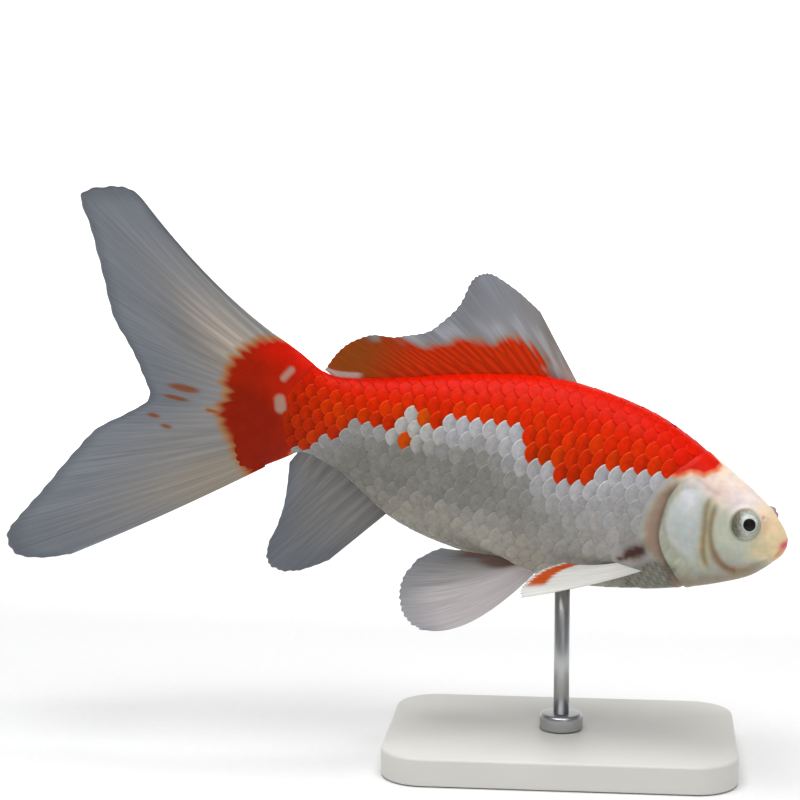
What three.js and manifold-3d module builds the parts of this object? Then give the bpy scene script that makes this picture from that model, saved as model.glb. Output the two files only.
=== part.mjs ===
// Comet goldfish, life size, gliding nose-down with its head turned to its right, on a plain
// display stand. Millimetres, +Z up. The origin is the middle of the stand's underside, the
// fish's nose points along +X and its left side along +Y.
//
// The fish is drawn straight first, in its own measures: a station s back from the snout,
// a width w to its left and a height h above the line from snout to tail. pose() then bends
// that straight fish along its midline, tips it nose-down and lifts it onto the rod.
import * as THREE from "three";
import { mergeVertices } from "three/addons/utils/BufferGeometryUtils.js";
import Module from "manifold-3d";

const wasm = await Module();
wasm.setup();

// ---- driving dimensions ----
const GAP = 0.3; // clearance between neighbouring solids
const BODY_LENGTH = 172; // snout to the root of the tail fin
const SNOUT_HEIGHT = 2.4;
const PITCH = THREE.MathUtils.degToRad(14.45); // nose-down tilt
const SUPPORT_STATION = 66; // where the rod meets the belly
const BELLY_HEIGHT = 58; // height of the belly over the rod

const HEAD_CUT = 44.5; // rear edge of the head at mid height
const MIDDLE_CUT = 86; // between the two lengths of the trunk
const VENT_CUT = 125; // where the tail stalk begins

const EYE_RADIUS = 5.2;
const EYE_CENTRE = [13, 6.7, 6]; // s, w, h of the left eye
const GILL_COVER_DEPTH = 2.4;

const BASE = { length: 112, width: 76, thickness: 9, corner: 14, bevel: 1 };
const ROD_RADIUS = 2.5;
const ROD_SEAT = 6; // depth of the rod's hole in the base
const COLLAR = { radius: 7, height: 5 };

// ---- curves ----

// A smooth curve through [x, y] points. Each inner slope is the mean of its two chords.
function through(points) {
  const chord = points.slice(1).map((p, i) => (p[1] - points[i][1]) / (p[0] - points[i][0]));
  const slope = points.map((_, i) => {
    const before = chord[Math.max(i - 1, 0)];
    const after = chord[Math.min(i, chord.length - 1)];
    return (before + after) / 2;
  });
  return (x) => {
    let i = points.findIndex((p) => p[0] > x) - 1;
    if (i === -2) i = points.length - 2;
    i = Math.max(i, 0);
    const width = points[i + 1][0] - points[i][0];
    const t = Math.min(Math.max((x - points[i][0]) / width, 0), 1);
    const rise = (3 - 2 * t) * t * t;
    return (
      points[i][1] * (1 - rise) +
      points[i + 1][1] * rise +
      width * t * (1 - t) * (slope[i] * (1 - t) - slope[i + 1] * t)
    );
  };
}

// A profile of the body over the square root of the station, so that the snout comes out blunt.
function profile(points) {
  const curve = through(points.map(([s, y]) => [Math.sqrt(s), y]));
  return (s) => curve(Math.sqrt(Math.max(s, 0)));
}

const back = profile([
  [0, SNOUT_HEIGHT], [1.5, 6.2], [5, 9.5], [10, 13.1], [20, 18], [31, 22.7], [40, 26.3], [49, 29.2],
  [60, 31.1], [78, 32.2], [89, 31.4], [104, 28.2], [118, 24.2], [133, 19.3], [147, 15.4],
  [155, 14.4], [160, 15.8], [166, 18.6], [BODY_LENGTH, 21],
]);
const belly = profile([
  [0, SNOUT_HEIGHT], [2, -2.6], [5, -6.6], [10, -11.3], [16, -15], [23, -18.7], [30, -21.8],
  [38, -24.8], [46, -27.3], [57, -30], [76, -31.3], [101, -30.4], [115, -28.7], [125, -26],
  [134, -21.4], [142, -16.9], [150, -14], [158, -12.9], [164, -16.9], [BODY_LENGTH, -22.8],
]);
const halfWidth = profile([
  [0, 0], [2, 3.8], [6, 6.4], [12, 9], [20, 11], [30, 13], [42, 14.8], [58, 16.4], [76, 17],
  [94, 15.8], [112, 13], [130, 9.6], [145, 7.2], [157, 5.6], [165, 4], [BODY_LENGTH, 2.4],
]);
const widest = profile([
  [0, SNOUT_HEIGHT], [10, 0], [20, -1], [42, -1], [76, 0], [110, 0], [140, -0.5],
  [157, 0.5], [BODY_LENGTH, -0.8],
]);

// Heading of the midline, in degrees to the left of +X: the head is turned to the right, the
// tail stalk swings a little to the right too, and the tail fin trails back to the left.
const heading = through([
  [0, -21], [25, -19.5], [44, -12.6], [62, -7.5], [88, -1], [130, 3.5], [165, 2.5], [205, -4], [260, -9],
]);

// Roll of the body about its own line, in degrees: the head leans over to the right.
const roll = through([[0, 5.5], [22, 5.5], [62, 0]]);

// ---- pose ----

// The midline at each whole millimetre of station, walked back from the snout.
const midline = [[0, 0]];
for (let s = 0; s < 270; s++) {
  const turn = THREE.MathUtils.degToRad(heading(s + 0.5));
  const [x, y] = midline[s];
  midline.push([x - Math.cos(turn), y - Math.sin(turn)]);
}

// A straight-fish point rolled, then bent along the midline, before the tilt.
function bent([s, w, h]) {
  const i = Math.min(Math.max(Math.floor(s), 0), midline.length - 2);
  const turn = THREE.MathUtils.degToRad(heading(s));
  const lean = THREE.MathUtils.degToRad(roll(s));
  const side = w * Math.cos(lean) - h * Math.sin(lean);
  const height = h * Math.cos(lean) + w * Math.sin(lean);
  const x = midline[i][0] + (midline[i + 1][0] - midline[i][0]) * (s - i);
  const y = midline[i][1] + (midline[i + 1][1] - midline[i][1]) * (s - i);
  return [x - side * Math.sin(turn), y + side * Math.cos(turn), height];
}

// A point tilted nose-down.
function tilted([x, y, z]) {
  return [
    x * Math.cos(PITCH) + z * Math.sin(PITCH),
    y,
    -x * Math.sin(PITCH) + z * Math.cos(PITCH),
  ];
}

const support = tilted(bent([SUPPORT_STATION, 0, belly(SUPPORT_STATION)]));

function pose(point) {
  const [x, y, z] = tilted(bent(point));
  return [x - support[0], y - support[1], z - support[2] + BELLY_HEIGHT];
}

// ---- solids ----

function geometryOf(points, triangles) {
  const geometry = new THREE.BufferGeometry();
  geometry.setAttribute("position", new THREE.Float32BufferAttribute(points.flat(), 3));
  geometry.setIndex(triangles.flat());
  return geometry;
}

function solidOf(geometry) {
  const bare = geometry.clone();
  bare.deleteAttribute("normal");
  bare.deleteAttribute("uv");
  const merged = mergeVertices(bare, 1e-4);
  return new wasm.Manifold(
    new wasm.Mesh({
      numProp: 3,
      vertProperties: merged.attributes.position.array,
      triVerts: new Uint32Array(merged.index.array),
    }),
  );
}

// A solid's geometry with its points moved. The straight fish's measures are left-handed,
// so posing it also turns each face round.
function geometryFrom(solid, move) {
  const mesh = solid.getMesh();
  const points = [];
  for (let i = 0; i < mesh.numVert; i++) {
    const at = i * mesh.numProp;
    points.push(move([...mesh.vertProperties.subarray(at, at + 3)]));
  }
  const geometry = geometryOf(points, [...mesh.triVerts]);
  if (move === pose) geometry.index.array.reverse();
  return geometry;
}

// Rings of points joined into one closed skin, with a point to close each end.
function closedRings(rings, first, last) {
  const count = rings[0].length;
  const points = [...rings.flat(), first, last];
  const triangles = [];
  const end = points.length - 1;
  for (let j = 0; j < count; j++) {
    const k = (j + 1) % count;
    triangles.push([end - 1, k, j]);
    for (let i = 0; i + 1 < rings.length; i++) {
      const [a, b] = [i * count, (i + 1) * count];
      triangles.push([a + j, b + k, b + j], [a + j, a + k, b + k]);
    }
    const tail = (rings.length - 1) * count;
    triangles.push([end, tail + j, tail + k]);
  }
  return geometryOf(points, triangles);
}

// ---- body ----

const AROUND = 26;
const SNOUT_RINGS = 7;
const RING_STEP = 4.3;

// A point on the body's surface, or grown outwards from it. Angle 0 is the left side,
// a quarter turn is the back and three quarters the belly.
function surface(s, angle, grow = 0) {
  const [up, side] = [Math.sin(angle), Math.cos(angle)];
  const middle = widest(s);
  const reach = up > 0 ? back(s) - middle : middle - belly(s);
  const breadth = Math.sign(side) * Math.abs(side) ** 0.92;
  return [s, (halfWidth(s) + grow) * breadth, middle + (reach + grow) * up];
}

// The whole straight body as one solid, from the snout to the root of the tail fin.
function bodySolid(grow = 0) {
  const stations = [];
  for (let i = 1; i <= SNOUT_RINGS; i++) stations.push(14 * (i / SNOUT_RINGS) ** 2);
  for (let s = 14 + RING_STEP; s < BODY_LENGTH; s += RING_STEP) stations.push(s);
  stations.push(BODY_LENGTH);
  const ring = (s) =>
    Array.from({ length: AROUND }, (_, j) => surface(s, (j / AROUND) * 2 * Math.PI, grow));
  const rings = stations.map(ring);
  return solidOf(
    closedRings(rings, [-grow, 0, SNOUT_HEIGHT], [BODY_LENGTH + grow, 0, widest(BODY_LENGTH)]),
  );
}

// The space between two cuts across the body, each a function that gives its station at a height.
function between(front, rear) {
  const heights = [-90, -30, -18, -6, 6, 18, 30, 90];
  const outline = [
    ...heights.map((h) => new THREE.Vector2(front(h) + GAP / 2, h)),
    ...heights.toReversed().map((h) => new THREE.Vector2(rear(h) - GAP / 2, h)),
  ];
  return slab(outline, -40, 40);
}

// An outline in station and height, drawn out across the fish from one width to another.
function slab(outline, from, to) {
  const geometry = new THREE.ExtrudeGeometry(new THREE.Shape(outline), {
    depth: to - from,
    bevelEnabled: false,
    steps: 1,
  });
  const position = geometry.attributes.position;
  const points = [];
  for (let i = 0; i < position.count; i++)
    points.push([position.getX(i), to - position.getZ(i), position.getY(i)]);
  return solidOf(geometryOf(points, points.map((_, i) => i)));
}

const headCut = (h) => HEAD_CUT - 0.006 * (h + 2) ** 2; // bowed back like the gill opening

// Outline of the lower jaw in station and height, with its cut raised by a clearance.
function jawOutline(grow) {
  const cut = [[-8, 1.3], [0.4, 1.3], [3.4, -1.8], [8, -5.4], [13.2, -10.3], [16, -19]];
  const raised = cut.map(([s, h]) => new THREE.Vector2(s + grow, h + grow));
  return [...raised, new THREE.Vector2(-8, -19)];
}

// ---- gill covers ----

// Outline of the gill cover in station and height, grown by a clearance.
function gillOutline(grow) {
  const corners = [
    [27.4, 15], [33.2, 16.8], [38.2, 9.6], [39.9, -0.4], [37.6, -9.2], [32, -16.4],
    [24.7, -16.6], [20.6, -10], [21.6, -0.9], [23.5, 9],
  ];
  const middle = new THREE.Vector2(31, -1);
  const grown = corners.map(([s, h]) => {
    const away = new THREE.Vector2(s, h).sub(middle);
    return away.setLength(away.length() + grow).add(middle);
  });
  return new THREE.SplineCurve([...grown, grown[0]]).getPoints(20).slice(0, -1);
}

// ---- eyes ----

function eyeSolid(side, grow) {
  const ball = new THREE.SphereGeometry(EYE_RADIUS + grow, 16, 10);
  const [s, w, h] = EYE_CENTRE;
  ball.rotateX(Math.PI / 2);
  ball.translate(s, side * w, h);
  return solidOf(ball);
}

// ---- fins ----

// A fin is a fan of rays. Each ray has a root and a tip, both [s, w, h]; the rays between are
// blended smoothly. along is 0 at the root and 1 at the tip.
function fan(rays) {
  const blend = (end, axis) => through(rays.map((ray, i) => [i / (rays.length - 1), ray[end][axis]]));
  const curves = [0, 1].map((end) => [0, 1, 2].map((axis) => blend(end, axis)));
  return (across, along) =>
    [0, 1, 2].map(
      (axis) => curves[0][axis](across) * (1 - along) + curves[1][axis](across) * along,
    );
}

// A closed thin solid over a fan, with its thickness going from root to tip. wave moves the
// membrane sideways, and sag bows each ray up or down between its ends.
function finSolid(rays, { across, along, root, tip, wave = () => 0, sag = () => 0 }) {
  const flat = fan(rays);
  const membrane = (u, v) => {
    const [s, w, h] = flat(u, v);
    return new THREE.Vector3(s, w + wave(u, v), h + sag(u) * 4 * v * (1 - v));
  };
  const step = 0.01;
  const sides = [1, -1].map((side) => {
    const rows = [];
    for (let i = 0; i <= across; i++)
      for (let j = 0; j <= along; j++) {
        const [u, v] = [i / across, j / along];
        const [u0, v0] = [Math.max(u - step, 0), Math.max(v - step, 0)];
        const [u1, v1] = [Math.min(u + step, 1), Math.min(v + step, 1)];
        const overU = membrane(u1, v).sub(membrane(u0, v));
        const overV = membrane(u, v1).sub(membrane(u, v0));
        const normal = overU.cross(overV).normalize();
        const half = ((root + (tip - root) * v ** 0.6) / 2) * side;
        rows.push(membrane(u, v).addScaledVector(normal, half).toArray());
      }
    return rows;
  });
  const row = along + 1;
  const count = row * (across + 1);
  const triangles = [];
  for (let i = 0; i < across; i++)
    for (let j = 0; j < along; j++) {
      const [a, b, c, d] = [i * row + j, (i + 1) * row + j, (i + 1) * row + j + 1, i * row + j + 1];
      triangles.push([a, b, c], [a, c, d]);
      triangles.push([count + a, count + c, count + b], [count + a, count + d, count + c]);
    }
  const rim = [
    ...Array.from({ length: across }, (_, i) => i * row),
    ...Array.from({ length: along }, (_, j) => across * row + j),
    ...Array.from({ length: across }, (_, i) => (across - i) * row + along),
    ...Array.from({ length: along }, (_, j) => along - j),
  ];
  rim.forEach((a, i) => {
    const b = rim[(i + 1) % rim.length];
    triangles.push([a, count + a, count + b], [a, count + b, b]);
  });
  const solid = solidOf(geometryOf(sides.flat(), triangles));
  if (solid.volume() > 0) return solid;
  return solidOf(geometryOf(sides.flat(), triangles.map(([a, b, c]) => [a, c, b])));
}

// A ray in the fish's middle plane, from root station and height to tip station and height.
const ray = (s, h, tipS, tipH) => [[s, 0, h], [tipS, 0, tipH]];

const dorsalRays = [
  [75.4, 95.6, 51], [83, 104, 55.4], [90, 113.5, 58.6], [96.5, 118.8, 56], [104, 121.2, 46.4],
  [113, 127.4, 36.9], [123, 137, 31.9], [133, 146.6, 29.8], [141, 153.6, 23.8],
  [147.5, 157.4, 15.4],
].map(([s, tipS, tipH]) => ray(s, back(s) - 3, tipS, tipH));

const analRays = [
  [124.8, 140.8, -45.2], [128.2, 147.8, -50.2], [132, 154, -52.6], [136, 159.4, -51.6],
  [140.5, 161.2, -46], [146, 159.6, -37], [152, 159.4, -28], [157.5, 160.8, -17],
].map(([s, tipS, tipH]) => ray(s, belly(s) + 3, tipS, tipH));

const tailUpperRays = [
  ray(168, 19.4, 225.6, 50.8), ray(169.2, 16.8, 232, 54.6), ray(170, 14.2, 240.5, 54.2),
  ray(170.6, 11.8, 249.6, 49), ray(171, 9.4, 243, 39), ray(171, 7, 235.6, 26.8),
  ray(171, 4.5, 228.2, 14.6), ray(171, 2.5, 221, 7), ray(171, 0.6, 214.6, -0.8),
  ray(171, -0.85, 210.6, -8.35),
];
const tailLowerRays = [
  ray(171, -1.15, 210.6, -8.65), ray(171, -3.5, 217, -16), ray(171, -6, 226.4, -24.4),
  ray(171, -8.8, 232, -34.4), ray(171, -11.8, 238.4, -47.6), ray(170.8, -14.6, 243.6, -58.4),
  ray(170.4, -16.8, 246.6, -66.4), ray(169.8, -18.4, 241.8, -71.4), ray(169, -19.4, 233, -70.4),
  ray(168, -20.4, 224, -66.6),
];

// The paired fins' rays are written for the left side; side -1 mirrors them to the right.
const paired = (rays, side) =>
  rays.map((ends) => ends.map(([s, w, h]) => [s, side * w, h]));

// A paired fin part folded: each ray's tip swung towards the first ray's.
const folded = (rays, share) =>
  rays.map(([root, tip]) => [root, tip.map((x, axis) => x + share * (rays[0][1][axis] - x))]);

const pectoralRays = [
  [[39.4, 10, -16.9], [76.5, 27, -34.2]], [[40.2, 10, -16.1], [77.6, 25.5, -32.2]],
  [[41.2, 10, -15.4], [76, 23.5, -28.6]], [[42.1, 10, -14.7], [72, 21, -24.8]],
  [[43, 10, -14.1], [66, 19, -21.4]],
];
const pelvicRays = [
  [[74, 5, -28.5], [104, 19.5, -54.2]], [[75.4, 5, -28.4], [108, 20, -54.2]],
  [[76.8, 5.2, -28.3], [112.8, 20, -51.6]], [[78.2, 5.4, -28.1], [115.8, 19.5, -46.4]],
  [[79.6, 5.6, -27.9], [116.3, 18.8, -40]], [[81, 5.8, -27.6], [113, 17.5, -33]],
  [[82.4, 6, -27.3], [106.8, 16, -28]],
];
const pelvicFold = { left: 0.3, right: 0 };

// ---- the parts ----

const material = (color, roughness = 0.45, metalness = 0) =>
  new THREE.MeshStandardMaterial({ color, roughness, metalness });
const finish = {
  white: material(0xd9d6cc),
  red: material(0xe0340f),
  fin: material(0x9ea1a6, 0.5),
  paleFin: material(0xd3d1ce, 0.5),
  eye: material(0x23211f, 0.15),
  base: material(0xe4e2dd, 0.4),
  steel: material(0xb4b6b8, 0.3, 1),
};

const fish = new THREE.Group();
fish.name = "goldfish";

// Adds a solid as one named mesh, posed unless it already stands in the part's own frame.
function add(name, solid, look, move = pose) {
  const mesh = new THREE.Mesh(geometryFrom(solid, move), look);
  mesh.name = name;
  fish.add(mesh);
}

const body = bodySolid();
const grownBody = bodySolid(GAP);

// The head, parted from the lower jaw, with the gill covers and the eyes let into it.
const sides = { left: 1, right: -1 };
const onSide = (outline, side) => slab(outline, ...(side > 0 ? [3, 40] : [-40, -3]));
let head = body.intersect(between(() => -20, headCut));
const inner = bodySolid(-GILL_COVER_DEPTH);
const bed = grownBody.subtract(bodySolid(-GILL_COVER_DEPTH - GAP));
for (const [name, side] of Object.entries(sides)) {
  const cover = body.subtract(inner).intersect(onSide(gillOutline(0), side));
  add(`gill_cover_${name}`, cover, finish.white);
  add(`eye_${name}`, eyeSolid(side, 0), finish.eye);
  head = head.subtract(bed.intersect(onSide(gillOutline(GAP), side)));
  head = head.subtract(eyeSolid(side, GAP));
}
add("lower_jaw", head.intersect(slab(jawOutline(0), -20, 20)), finish.white);
add("head", head.subtract(slab(jawOutline(GAP), -20, 20)), finish.white);

// The trunk in two lengths, and the tail stalk.
const across = (station) => () => station;
add("trunk_front", body.intersect(between(headCut, across(MIDDLE_CUT))), finish.red);
add("trunk_rear", body.intersect(between(across(MIDDLE_CUT), across(VENT_CUT))), finish.red);
add("tail_stalk", body.intersect(between(across(VENT_CUT), across(BODY_LENGTH + GAP))), finish.red);

// The fins, each cut clear of the body it grows from.
const freeOf = (fin) => fin.subtract(grownBody);
const pastRoot = between(across(BODY_LENGTH), across(400));
const dorsalWave = (u, v) => 1.6 * v * v * Math.sin(5.5 * u + 0.6);
const tailWave = (u, v) => 2.4 * v * v * Math.sin(2 * Math.PI * u);
const dorsal = { across: 22, along: 4, root: 2.2, tip: 0.7, wave: dorsalWave };
const anal = { across: 12, along: 4, root: 2, tip: 0.7 };
const tail = { across: 16, along: 6, root: 3.6, tip: 0.7, wave: tailWave };
const upperTail = { ...tail, sag: (u) => -2.8 * (1 - u) };
const lowerTail = { ...tail, sag: (u) => -0.8 * u };
const pectoral = { across: 8, along: 5, root: 2, tip: 0.6, sag: () => -1.6 };
const pelvic = { across: 10, along: 5, root: 2, tip: 0.6, sag: (u) => -6.5 * (1 - u) };
add("dorsal_fin", freeOf(finSolid(dorsalRays, dorsal)), finish.red);
add("anal_fin", freeOf(finSolid(analRays, anal)), finish.fin);
add("tail_fin_upper", finSolid(tailUpperRays, upperTail).intersect(pastRoot), finish.fin);
add("tail_fin_lower", finSolid(tailLowerRays, lowerTail).intersect(pastRoot), finish.fin);
for (const [name, side] of Object.entries(sides)) {
  const arm = finSolid(paired(pectoralRays, side), pectoral);
  add(`pectoral_fin_${name}`, freeOf(arm), finish.paleFin);
  const leg = finSolid(paired(folded(pelvicRays, pelvicFold[name]), side), pelvic);
  add(`pelvic_fin_${name}`, freeOf(leg), finish.paleFin);
}

// ---- stand ----

const asIs = (point) => point;

function upright(radius, height, bottom, segments = 16) {
  const rod = new THREE.CylinderGeometry(radius, radius, height, segments);
  rod.rotateX(Math.PI / 2);
  rod.translate(0, 0, bottom + height / 2);
  return solidOf(rod);
}

function basePlate() {
  const { length, width, thickness, corner, bevel } = BASE;
  const [x, y] = [length / 2 - bevel, width / 2 - bevel];
  const r = corner - bevel;
  const outline = new THREE.Shape();
  outline.absarc(x - r, y - r, r, 0, Math.PI / 2);
  outline.absarc(r - x, y - r, r, Math.PI / 2, Math.PI);
  outline.absarc(r - x, r - y, r, Math.PI, 1.5 * Math.PI);
  outline.absarc(x - r, r - y, r, 1.5 * Math.PI, 2 * Math.PI);
  const plate = new THREE.ExtrudeGeometry(outline, {
    depth: thickness - 2 * bevel,
    bevelSize: bevel,
    bevelThickness: bevel,
    bevelSegments: 1,
    curveSegments: 6,
  });
  plate.translate(0, 0, bevel);
  return solidOf(plate);
}

function collar() {
  const { radius, height } = COLLAR;
  const bore = ROD_RADIUS + GAP;
  const outline = [[bore, 0], [radius, 0], [radius, height - 1.5], [radius - 1.5, height], [bore, height]];
  const ring = new THREE.LatheGeometry([...outline, outline[0]].map(([x, y]) => new THREE.Vector2(x, y)), 20);
  ring.rotateX(Math.PI / 2);
  ring.translate(0, 0, BASE.thickness + GAP);
  return solidOf(ring);
}

const seat = BASE.thickness - ROD_SEAT;
const rodTop = BELLY_HEIGHT + 8;
const posedBody = solidOf(geometryFrom(grownBody, pose));
add("stand_base", basePlate().subtract(upright(ROD_RADIUS + GAP, ROD_SEAT + 1, seat)), finish.base, asIs);
add("stand_collar", collar(), finish.steel, asIs);
const rod = upright(ROD_RADIUS, rodTop - seat - GAP, seat + GAP).subtract(posedBody);
const rodBelow = rod.decompose().sort((a, b) => b.volume() - a.volume())[0];
add("stand_rod", rodBelow, finish.steel, asIs);

export default fish;
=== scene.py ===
"""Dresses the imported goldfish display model: skin, scales, fins, eyes, stand, floor and light.

The fish is worked out straight first, in its own measures in millimetres: a station s back
from the snout, a width w to its left and a height h above the line from snout to tail. pose()
bends those points along the fish's midline, tips them nose-down and lifts them onto the rod,
and gives metres in the axes of the frame.
"""

from collections import namedtuple

import bpy
import numpy as np
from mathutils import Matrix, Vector


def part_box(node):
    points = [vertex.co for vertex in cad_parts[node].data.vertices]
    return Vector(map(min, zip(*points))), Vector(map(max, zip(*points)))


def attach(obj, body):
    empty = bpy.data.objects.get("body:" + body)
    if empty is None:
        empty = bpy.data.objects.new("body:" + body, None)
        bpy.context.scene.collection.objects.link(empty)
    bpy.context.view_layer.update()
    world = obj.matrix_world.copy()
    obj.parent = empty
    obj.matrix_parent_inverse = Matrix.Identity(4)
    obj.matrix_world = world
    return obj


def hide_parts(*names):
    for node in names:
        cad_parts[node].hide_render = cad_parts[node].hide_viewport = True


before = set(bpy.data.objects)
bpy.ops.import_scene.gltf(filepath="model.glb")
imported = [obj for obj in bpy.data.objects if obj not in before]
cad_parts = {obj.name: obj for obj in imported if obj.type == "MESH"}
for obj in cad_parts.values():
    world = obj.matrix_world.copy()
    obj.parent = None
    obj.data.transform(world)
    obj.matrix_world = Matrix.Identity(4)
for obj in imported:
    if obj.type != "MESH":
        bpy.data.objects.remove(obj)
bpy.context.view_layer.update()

bl_info = {
    "name": "Goldfish display model",
    "version": (1, 0, 0),
    "blender": (4, 5, 0),
    "location": "3D View > Sidebar > Goldfish",
    "description": "Skin, scales, fins, eyes and stand of a life-size comet goldfish",
    "category": "Add Mesh",
}

MM = 0.001  # metres in a millimetre
SIDES = {"left": 1, "right": -1}

FLESH = ["head", "lower_jaw", "gill_cover_left", "gill_cover_right",
         "trunk_front", "trunk_rear", "tail_stalk"]


# ---- curves, ramps and outlines ----

def through(points):
    """A smooth curve through (x, y) points: a cubic in each gap, whose slope at a point is the
    mean of the two chords that meet there. Past its ends it keeps its end values."""
    x, y = np.array(points, float).T
    chord = np.diff(y) / np.diff(x)
    slope = np.concatenate([chord[:1], (chord[1:] + chord[:-1]) / 2, chord[-1:]])

    def curve(at):
        i = np.clip(np.searchsorted(x, at, side="right") - 1, 0, len(x) - 2)
        width = x[i + 1] - x[i]
        t = np.clip((at - x[i]) / width, 0, 1)
        rise = (3 - 2 * t) * t * t
        bow = width * t * (1 - t) * (slope[i] * (1 - t) - slope[i + 1] * t)
        return y[i] * (1 - rise) + y[i + 1] * rise + bow

    return curve


def profile(points):
    """A curve of the station that runs over its square root, so that the snout comes out blunt."""
    curve = through([(np.sqrt(s), y) for s, y in points])
    return lambda s: curve(np.sqrt(np.maximum(s, 0)))


def unit(vectors):
    """The same directions with a length of 1."""
    return vectors / np.linalg.norm(vectors, axis=-1, keepdims=True)


def ramp(x, low, high):
    """0 below low, 1 above high, and an S-shaped rise between them."""
    t = np.clip((x - low) / (high - low), 0, 1)
    return t * t * (3 - 2 * t)


def bell(x, width):
    """1 at x = 0, falling off on both sides: e to the power of minus (x / width) squared."""
    return np.exp(-((x / width) ** 2))


def mottle(x, y, phase=0.0):
    """A smooth uneven pattern from -1 to 1: the mean of four sine waves that run across the
    plane in different directions, with lengths from 2 to 6 units."""
    waves = [(1.0, 0.3), (-0.55, 1.25), (1.7, -0.9), (0.4, 2.6)]
    total = sum(np.sin(a * x + b * y + phase * (i + 1)) for i, (a, b) in enumerate(waves))
    return total / len(waves)


def scatter(number, phase=0.0):
    """A value from 0 to 1 that looks random but is fixed for each number: the part after the
    point of a large multiple of its sine."""
    return np.mod(np.sin(number * 12.9898 + phase) * 43758.5453, 1.0)


def smooth_path(corners, closed=False, per_gap=5):
    """Points along a smooth path through corners: each coordinate is a through() curve of the
    corner's number, and a closed path runs on past its first corner so that it joins up."""
    corners = np.array(corners, float)
    first, count = 0, len(corners) - 1
    if closed:
        first, count = 2, len(corners)
        corners = np.concatenate([corners[-2:], corners, corners[:3]])
    number = np.arange(len(corners))
    at = first + np.arange(count * per_gap + (not closed)) / per_gap
    return np.stack([through(np.stack([number, axis], -1))(at) for axis in corners.T], -1)


def nearest(path, s, h):
    """For each point (s, h): its distance to a path of straight pieces, the side of the path it
    lies on (1 or -1) and the share of the path at the nearest place. It is the least of the
    distances to the pieces."""
    start, step = path[:-1], np.diff(path, axis=0)
    off_s, off_h = s[..., None] - start[:, 0], h[..., None] - start[:, 1]
    along = np.clip((off_s * step[:, 0] + off_h * step[:, 1]) / (step ** 2).sum(1), 0, 1)
    gap = np.hypot(off_s - along * step[:, 0], off_h - along * step[:, 1])
    best = gap.argmin(-1)[..., None]
    side = np.sign(step[:, 0] * off_h - step[:, 1] * off_s)

    def pick(values):
        return np.take_along_axis(values, best, -1)[..., 0]

    return pick(gap), pick(side), (best[..., 0] + pick(along)) / len(step)


def depth_inside(outline, s, h):
    """Millimetres inside a closed outline, or minus the millimetres outside it. A point is
    inside if a line drawn from it crosses the outline an odd number of times."""
    loop = np.concatenate([outline, outline[:1]])
    start, end = loop[:-1], loop[1:]
    spans = (start[:, 1] > h[..., None]) != (end[:, 1] > h[..., None])
    rise = np.where(end[:, 1] == start[:, 1], 1.0, end[:, 1] - start[:, 1])
    crossing = start[:, 0] + (h[..., None] - start[:, 1]) * (end[:, 0] - start[:, 0]) / rise
    odd = (spans & (s[..., None] < crossing)).sum(-1) % 2 == 1
    return np.where(odd, 1, -1) * nearest(loop, s, h)[0]


# ---- the straight body, in millimetres ----

SNOUT_HEIGHT = 2.4
STALK_END = 172  # root of the tail fin
SKIN_END = 184  # the skin thins out over the root of the tail fin up to here
FLANK_POWER = 0.92  # under 1, so that the flanks are a little fuller than an oval's

back = profile([
    (0, SNOUT_HEIGHT), (1.5, 6.2), (5, 9.5), (10, 13.1), (20, 18), (31, 22.7), (40, 26.3),
    (49, 29.2), (60, 31.1), (78, 32.2), (89, 31.4), (104, 28.2), (118, 24.2), (133, 19.3),
    (147, 15.4), (155, 14.4), (160, 15.8), (166, 18.6), (STALK_END, 21), (SKIN_END, 25),
])
belly = profile([
    (0, SNOUT_HEIGHT), (2, -2.6), (5, -6.6), (10, -11.3), (16, -15), (23, -18.7), (30, -21.8),
    (38, -24.8), (46, -27.3), (57, -30), (76, -31.3), (101, -30.4), (115, -28.7), (125, -26),
    (134, -21.4), (142, -16.9), (150, -14), (158, -12.9), (164, -16.9), (STALK_END, -22.8),
    (SKIN_END, -31.6),
])
half_width = profile([
    (0, 0), (2, 3.8), (6, 6.4), (12, 9), (20, 11), (30, 13), (42, 14.8), (58, 16.4), (76, 17),
    (94, 15.8), (112, 13), (130, 9.6), (145, 7.2), (157, 5.6), (165, 4), (STALK_END, 2.4),
    (178, 1.1), (SKIN_END, 0.3),
])
widest = profile([
    (0, SNOUT_HEIGHT), (10, 0), (20, -1), (42, -1), (76, 0), (110, 0), (140, -0.5),
    (157, 0.5), (STALK_END, -0.8), (SKIN_END, -3),
])
lateral_line = through([
    (36, 13), (50, 10.6), (60, 8.6), (70, 6.2), (83, 4.4), (95, 3.5), (110, 1.8), (140, 1.2),
    (170, 0.9),
])


def surface(s, angle):
    """A point on the straight body. Angle 0 is the left side, a quarter turn the back and three
    quarters the belly. The height goes from the widest level to the back or the belly with the
    sine, and the width with a power of the cosine."""
    s, angle = np.broadcast_arrays(np.asarray(s, float), angle)
    up, side = np.sin(angle), np.cos(angle)
    middle = widest(s)
    reach = np.where(up > 0, back(s) - middle, middle - belly(s))
    breadth = np.sign(side) * np.abs(side) ** FLANK_POWER
    return np.stack([s, half_width(s) * breadth, middle + reach * up], axis=-1)


def outward(s, angle):
    """The direction square to the straight body's surface: the cross product of the steps that
    a small change of angle and a small change of station make."""
    turn = surface(s, angle + 0.004) - surface(s, angle - 0.004)
    run = surface(s + 0.1, angle) - surface(np.maximum(s - 0.1, 0), angle)
    return unit(np.cross(turn, run))


def share_up(s, h):
    """How far a height is from the widest level towards the back, as a share of that reach. It
    is negative below the widest level."""
    return (h - widest(s)) / np.maximum(back(s) - widest(s), 0.1)


# ---- the pose ----

PITCH = np.radians(14.45)  # nose-down tilt
SUPPORT_STATION = 66  # where the rod meets the belly
BELLY_HEIGHT = 58  # the rod's tip over the floor
MIDLINE_STEPS = 270  # millimetres of midline, past the tips of the tail fin

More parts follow.
